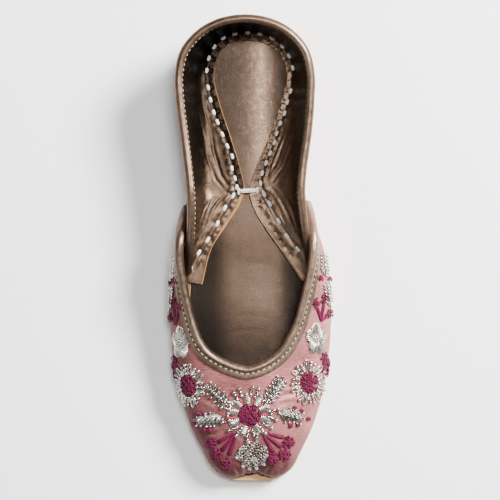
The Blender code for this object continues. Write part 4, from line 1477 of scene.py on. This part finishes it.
    def gem(self, place, x, y, radius):
        """A round cut crystal."""
        point, normal = place(x, y)
        side = unit(np.cross(normal, (0.2, 0.9, 0.1)))
        other = np.cross(normal, side)
        rings = []
        for share, height, shift in ((0.55, 1.0, 0.5), (1.0, 0.55, 0.0), (0.9, 0.0, 0.5)):
            turns = (np.arange(8) + shift) * 2 * np.pi / 8
            flat = np.cos(turns)[:, None] * side + np.sin(turns)[:, None] * other
            rings.append(point + normal * (0.35 * MM + height * radius * 0.8) + flat * radius * share)
        index = np.arange(24).reshape(3, 8)
        after = np.roll(index, -1, axis=1)
        faces = np.stack((index[1:], after[1:], after[:-1], index[:-1]), axis=-1).reshape(-1, 4)
        caps = []
        for ends in (index[0], index[-1, ::-1]):
            for step in range(1, 6, 2):
                caps.append((ends[0], ends[step], ends[step + 1], ends[step + 2]))
        self.crystals.add(np.concatenate(rings), np.concatenate((faces, np.array(caps))))

    def ladder(self, place, centre, angle, steps, lengths, radius, heap, stretch=(1.0, 1.0)):
        """A petal of coiled wires laid side by side across it."""
        ahead = np.array((math.cos(angle) * stretch[0], math.sin(angle) * stretch[1]))
        across = np.array((-math.sin(angle) * stretch[0], math.cos(angle) * stretch[1]))
        centre = np.array(centre, dtype=float)
        for step, length in zip(steps, lengths):
            spot = centre + ahead * step
            self.coil(heap, place, spot - across * length / 2, spot + across * length / 2, radius)

    def sprig(self, place, start, end, pairs, leaf, spread=0.74, width=1.35, beads=True):
        """A spray of wire leaves in pairs along a line, with round beads between them."""
        start, end = np.array(start, dtype=float), np.array(end, dtype=float)
        heading = math.atan2(end[1] - start[1], end[0] - start[0])
        across = np.array((-math.sin(heading), math.cos(heading)))
        for number in range(pairs):
            share = (number + 0.35) / pairs
            base = start + (end - start) * share
            size = leaf * (1.0 - 0.28 * share)
            for side in (-1.0, 1.0):
                angle = heading + side * (spread + self.random.uniform(-0.10, 0.10))
                tip = base + size * np.array((math.cos(angle), math.sin(angle)))
                self.loop(self.wire, place, base, tip, width, 0.30 * MM, 0.45 * MM)
                if number % 2 == 0:
                    self.coil(self.pale, place, base, base + (tip - base) * 0.8, 0.26 * MM, 0.45 * MM)
                else:
                    self.bugle(place, base + (tip - base) * 0.2, base + (tip - base) * 0.62, 0.42 * MM)
                if beads:
                    bud = base + (tip - base) * 0.98 + across * side * 1.2
                    self.bead(place, bud[0], bud[1], 0.70 * MM, 1.1)
        tip = end + 0.55 * leaf * np.array((math.cos(heading), math.sin(heading)))
        self.loop(self.wire, place, end, tip, width, 0.30 * MM, 0.45 * MM)
        if beads:
            for number in range(pairs + 1):
                spot = start + (end - start) * (number + 0.1) / pairs
                self.bead(place, spot[0], spot[1], 0.86 * MM, 1.25)


# The large flower over the toes
FLOWER = (185.0, 415.0)
PETAL_ANGLES = (-100, -57, -24, 18, 63, 109, 152, 188, 219)
PETAL_STEPS = (14.9, 17.0, 19.1, 21.2, 23.3)
PETAL_LENGTHS = (7.4, 8.6, 9.0, 8.4, 7.0)
CORAL_ANGLES = ((-79, 15, 24), (-122, 16, 25), (-41, 15, 23), (-2, 15, 22), (40, 15, 21), (87, 14, 22),
                (131, 16, 23), (171, 15, 32), (203, 16, 25), (-72, 27, 35), (-32, 26, 33), (47, 25, 31),
                (-5, 25, 32), (-156, 26, 34), (-48, 27, 36))
FLOWER_SPOKES = (
    ((176, 391.7), (173, 383)), ((170, 395.8), (165.8, 387.7)), ((186.4, 390.3), (189, 381.4)),
    ((191.6, 392.7), (196.4, 383.3)), ((201.7, 397.7), (205.7, 389)), ((204.5, 402), (213.6, 398)),
    ((209, 410.6), (220, 408)), ((208.4, 417.3), (218.4, 420.7)), ((202, 426), (212, 430.7)),
    ((198.3, 430), (205, 437.4)), ((188.3, 434), (194, 442.7)), ((183.5, 435), (182.5, 445.6)),
    ((174.9, 431.7), (169, 440)), ((170, 429.8), (160.3, 434)), ((163.4, 422), (152.4, 424)),
    ((163.6, 402), (156.2, 396.7)), ((160.3, 407.8), (151.5, 405.6)),
)
FLOWER_BEADS = ((158.4, 415.9), (211.5, 413.6), (180.3, 389.5), (206.9, 405.6), (199.0, 391.8), (166.5, 425.6))


def large_flower(work, place):
    work.knots(place, FLOWER, 14.2, 13.0, dome=1.1 * MM)
    for angle in PETAL_ANGLES:
        turn = math.radians(angle)
        work.ladder(place, FLOWER, turn, PETAL_STEPS, PETAL_LENGTHS, 0.44 * MM, work.pale)
        ahead = np.array((math.cos(turn), math.sin(turn)))
        across = np.array((-math.sin(turn), math.cos(turn)))
        for side in (-1.0, 1.0):
            root = np.array(FLOWER) + ahead * 23.5 + across * side * 2.6
            tip = np.array(FLOWER) + ahead * 27.6 + across * side * 0.7
            work.coil(work.pale, place, root, tip, 0.36 * MM, 0.2 * MM)
    for angle, low, high in CORAL_ANGLES:
        ahead = np.array((math.cos(math.radians(angle)), math.sin(math.radians(angle))))
        work.coral_stitch(place, np.array(FLOWER) + ahead * low, np.array(FLOWER) + ahead * high)
    for inner, outer in FLOWER_SPOKES:
        inner, outer = np.array(inner, dtype=float), np.array(outer, dtype=float)
        work.bead(place, *inner, 0.95 * MM)
        work.bugle(place, inner + (outer - inner) * 0.26, inner + (outer - inner) * 0.70, 0.66 * MM)
        work.bead(place, *outer, 1.14 * MM)
    for angle in PETAL_ANGLES:
        for step, reach, radius in ((-12, 26.5, 0.95), (14, 25.5, 0.9)):
            turn = math.radians(angle + step)
            spot = np.array(FLOWER) + reach * np.array((math.cos(turn), math.sin(turn)))
            work.bead(place, *spot, radius * MM)
    for x, y in FLOWER_BEADS:
        work.bead(place, x, y, 0.92 * MM)


# Sprays of wire leaves: start, end, pairs of leaves, leaf length
SPRIGS = (
    ((161, 404), (135, 381), 5, 11.5),
    ((208, 397), (223, 373), 5, 11.5),
    ((153, 420), (124, 421), 5, 12.0),
    ((221, 412), (246, 418), 5, 12.0),
)
SINGLE_KNOTS = (
    (121.9, 413.7), (127.9, 413.2), (117.6, 426.0), (129.9, 433.4), (136.8, 433.8), (240.3, 406.2),
    (248.5, 409.5), (256.6, 419.4), (235.2, 428.0), (244.4, 426.8),
)
FAN_STEMS = (
    ((167, 437), (147, 448.5)), ((167.5, 439), (151.5, 458.5)), ((169, 440), (160, 464)),
    ((205, 437), (226.5, 442.5)), ((204.5, 439), (224.5, 454.5)), ((202.5, 440), (214, 461)),
)
FAN_KNOTS = ((138, 450.7), (144.5, 463), (156, 474.5), (232.5, 448), (228, 463), (213.8, 468))


def sprays(work, place):
    for start, end, pairs, leaf in SPRIGS:
        work.sprig(place, start, end, pairs, leaf)
    for x, y in SINGLE_KNOTS:
        work.round_knot(place, x, y, 1.28 * MM)
    for start, end in FAN_STEMS:
        work.stem(place, start, end, 2.2, 4.4)
    for x, y in FAN_KNOTS:
        work.knots(place, (x, y), 6.8, 6.6, dome=0.7 * MM, pitch=2.55)


# The cluster of wire loops at the toe, with its crystal and clear beads
CLUSTER = (188.7, 463.5)
CLUSTER_GEM = (191.3, 468.4)
CLUSTER_BEADS = (
    (177, 477.3), (185.4, 480.4), (194, 479.6), (202.9, 474.6), (206.7, 464.4), (169.6, 467), (173.6, 456.8),
    (204.6, 454.8), (183.5, 448.4), (194.5, 447.6),
)


def toe_cluster(work, place):
    count = 74
    for number in range(count):
        share = math.sqrt((number + 0.5) / count)
        angle = number * 2.39996
        x = CLUSTER[0] + share * 17.6 * math.cos(angle)
        y = CLUSTER[1] + share * 14.6 * math.sin(angle)
        if math.hypot(x - CLUSTER_GEM[0], y - CLUSTER_GEM[1]) < 5.2:
            continue
        heading = angle + work.random.uniform(-0.9, 0.9)
        reach = work.random.uniform(3.0, 4.6)
        step = np.array((math.cos(heading), math.sin(heading))) * reach / 2
        height = (0.25 + 0.75 * (1 - share * share) + 0.2 * work.random.uniform()) * MM
        heap = work.wire if number % 3 else work.pale
        work.loop(heap, place, (x - step[0], y - step[1]), (x + step[0], y + step[1]), 1.8, 0.27 * MM, height, 11)
    for number in range(11):
        angle = number * 2 * math.pi / 11
        work.bead(place, CLUSTER_GEM[0] + 4.7 * math.cos(angle), CLUSTER_GEM[1] + 4.7 * math.sin(angle), 0.42 * MM, 2.2)
    work.gem(place, *CLUSTER_GEM, 1.65 * MM)
    for x, y in CLUSTER_BEADS:
        work.gem(place, x, y, 0.95 * MM)


# Motifs on the side of the foot. They are placed on the inner side, and their mirror image on the outer side.
SIDE_FLOWER = (257.5, 375.0)
PETAL_FLOWER = (266.8, 322.0)
BUDS = (
    ((273, 300), ((266.6, 277.5), (277, 272.0), (283, 291))),
    ((274, 363), ((277.0, 344.3), (281.5, 352.0), (283.0, 362.4))),
)
SIDE_SPRIGS = (
    ((278, 245), (275, 219), 6, 6.2),
    ((283, 282), (279.5, 256), 6, 6.0),
)
SIDE_KNOTS = ((284.0, 248.0), (271.5, 247.0))


def side_flower(work, place):
    centre = np.array(SIDE_FLOWER)
    narrow = 0.80
    work.knots(place, SIDE_FLOWER, 10.4, 12.8, dome=0.9 * MM)

    def spot(angle, reach):
        return centre + reach * np.array((narrow * math.cos(angle), math.sin(angle)))

    for number in range(21):
        angle = math.radians(number * 360 / 21 + 4)
        if number % 3 == 0:
            work.loop(work.pale, place, spot(angle, 15), spot(angle, 28), 2.3, 0.33 * MM, 0.45 * MM)
            work.coil(work.wire, place, spot(angle, 16), spot(angle, 25), 0.36 * MM, 0.5 * MM)
        elif number % 3 == 1:
            work.bead(place, *spot(angle, 15.3), 0.92 * MM)
            work.bugle(place, spot(angle, 18), spot(angle, 22), 0.64 * MM)
            work.bead(place, *spot(angle, 25.4), 1.05 * MM)
        else:
            work.bead(place, *spot(angle, 15.3), 0.86 * MM)
            for reach in (18.0, 20.2):
                work.coil(work.pale, place, spot(angle + 0.13, reach), spot(angle - 0.13, reach), 0.42 * MM)
            work.bead(place, *spot(angle - 0.06, 23.6), 0.92 * MM)
    for angle, low, high in ((135, 15, 23), (205, 15, 22), (250, 16, 22), (300, 15, 21), (25, 15, 21), (75, 15, 22)):
        turn = math.radians(angle)
        work.coral_stitch(place, spot(turn, low), spot(turn, high), 0.36 * MM)


def petal_flower(work, place):
    centre = np.array(PETAL_FLOWER)
    for number in range(44):
        angle = 2 * math.pi * (number + 0.5) / 44
        lobe = abs(math.sin(2.5 * (angle - 0.31)))
        toward = np.array((0.66 * math.cos(angle), math.sin(angle)))
        reach = 14.2 + 6.6 * lobe ** 0.8
        start, end = centre + toward * 5.2, centre + toward * reach
        work.coil(work.pale if number % 4 else work.wire, place, start, end, 0.38 * MM, (0.15 + 0.35 * lobe) * MM)
    for number in range(9):
        angle = number * 2 * math.pi / 9
        x, y = centre[0] + 2.4 * math.cos(angle), centre[1] + 3.6 * math.sin(angle)
        work.loop(work.pale, place, (x, y), (x + 1.6 * math.cos(angle), y + 2.4 * math.sin(angle)), 1.1, 0.27 * MM)
    work.gem(place, centre[0] + 5.6, centre[1] + 0.5, 1.5 * MM)
    for x, y in ((-0.8, 1.0), (0.6, -2.6), (1.4, 3.2), (-2.0, -1.4)):
        work.bead(place, centre[0] + x, centre[1] + y, 0.80 * MM, 1.0)


def side_motifs(work, place):
    side_flower(work, place)
    petal_flower(work, place)
    for meeting, tips in BUDS:
        for tip in tips:
            tip = np.array(tip, dtype=float)
            work.stem(place, meeting, tip + (np.array(meeting) - tip) * 0.2, 1.8, 3.4)
            work.knots(place, tip, 4.6, 5.6, dome=0.7 * MM)
    for start, end, pairs, leaf in SIDE_SPRIGS:
        work.sprig(place, start, end, pairs, leaf, spread=0.5, width=0.7)
    for x, y in SIDE_KNOTS:
        work.knots(place, (x, y), 2.6, 3.2, dome=0.5 * MM, pitch=2.3)


def build_embroidery(grid):
    cloth = Cloth(grid)
    work = Embroidery()
    large_flower(work, cloth.at)
    sprays(work, cloth.at)
    toe_cluster(work, cloth.at)
    side_motifs(work, cloth.at)
    side_motifs(work, cloth.mirrored)
    work.finish()


# Floor, light and camera
def studio_material():
    look = Nodes("pale_floor", Roughness=0.9, Specular_IOR_Level=0.1)
    cloudy = look.grain(3.0, detail=2.0)
    look.join(look.ramp(cloudy, (0.3, (0.92, 0.92, 0.92)), (0.7, (0.95, 0.95, 0.95))), "Base Color")
    return look.material


def build_floor():
    size = 3.0
    corners = np.array(((-size, -size, 0.0), (size, -size, 0.0), (size, size, 0.0), (-size, size, 0.0)))
    floor = make_mesh("floor", corners, [(0, 1, 2, 3)], [studio_material()], smooth=False)


def add_light(name, place, target, size, power, color=(1.0, 1.0, 1.0)):
    data = bpy.data.lights.new(name, "AREA")
    data.shape = "DISK"
    data.size = size
    data.energy = power
    data.color = color
    light = bpy.data.objects.new(name, data)
    light.location = place
    light.rotation_euler = (Vector(target) - Vector(place)).to_track_quat("-Z", "Y").to_euler()
    bpy.context.scene.collection.objects.link(light)


def build_light():
    middle = (0.0, 0.0, 0.02)
    add_light("key", (0.80, 0.55, 0.90), middle, 0.50, 84.0, (1.0, 0.985, 0.96))
    add_light("overhead", (0.14, 0.20, 1.30), middle, 0.30, 14.0)
    add_light("fill", (-1.0, -0.5, 0.9), middle, 0.9, 5.0, (0.95, 0.97, 1.0))
    world = bpy.data.worlds.new("studio")
    world.use_nodes = True
    background = world.node_tree.nodes["Background"]
    background.inputs["Color"].default_value = (0.93, 0.95, 1.0, 1.0)
    background.inputs["Strength"].default_value = 0.12
    bpy.context.scene.world = world


# The camera stands where the photograph's does. It is turned to the middle of the shoe, and its view is
# wide enough for the heel, which the photograph cuts off.
VIEW_WIDTH = 272.0 * MM
VIEW_TARGET = np.array((-0.6, 0.0, 10.0)) * MM


def build_camera():
    data = bpy.data.cameras.new("camera")
    data.sensor_width = 36.0
    forward = VIEW_TARGET - PHOTO_EYE
    data.lens = 36.0 * np.linalg.norm(forward) / VIEW_WIDTH
    data.clip_start = 0.05
    data.clip_end = 20.0
    camera = bpy.data.objects.new("camera", data)
    forward = unit(forward)
    right = unit(np.cross(forward, np.array((0.0, 1.0, 0.0))))
    up = np.cross(right, forward)
    turn = Matrix((right.tolist(), up.tolist(), (-forward).tolist())).transposed().to_4x4()
    turn.translation = Vector(PHOTO_EYE)
    camera.matrix_world = turn
    bpy.context.scene.collection.objects.link(camera)
    bpy.context.scene.camera = camera


def main():
    build_outsole()
    insole_top = build_insole()
    vamp_plain, vamp_normals, vamp_outer = build_vamp()
    quarter_plain, quarter_normals, lining, lining_normals, heel = build_quarters()
    vamp_edge = Edge(vamp_plain, vamp_normals, VAMP_BINDING_DEPTH)
    quarter_edge = Edge(quarter_plain, quarter_normals, QUARTER_BINDING_DEPTH)
    profile = binding_profile(VAMP_BINDING_DEPTH, VAMP_BINDING_INNER_DEPTH, BINDING_ROLL)
    build_binding("throat_binding", "vamp_binding", vamp_edge, profile, BINDING)
    profile = binding_profile(QUARTER_BINDING_DEPTH, QUARTER_BINDING_DEPTH, BINDING_ROLL * 0.75)
    build_binding("collar_binding", "quarter_binding", quarter_edge, profile, COLLAR)
    binding_stitches(vamp_edge, quarter_edge)
    white_stitches(lining, lining_normals, heel)
    tie_bar(lining, lining_normals)
    build_embroidery(vamp_outer)
    build_floor()
    build_light()
    build_camera()


main()
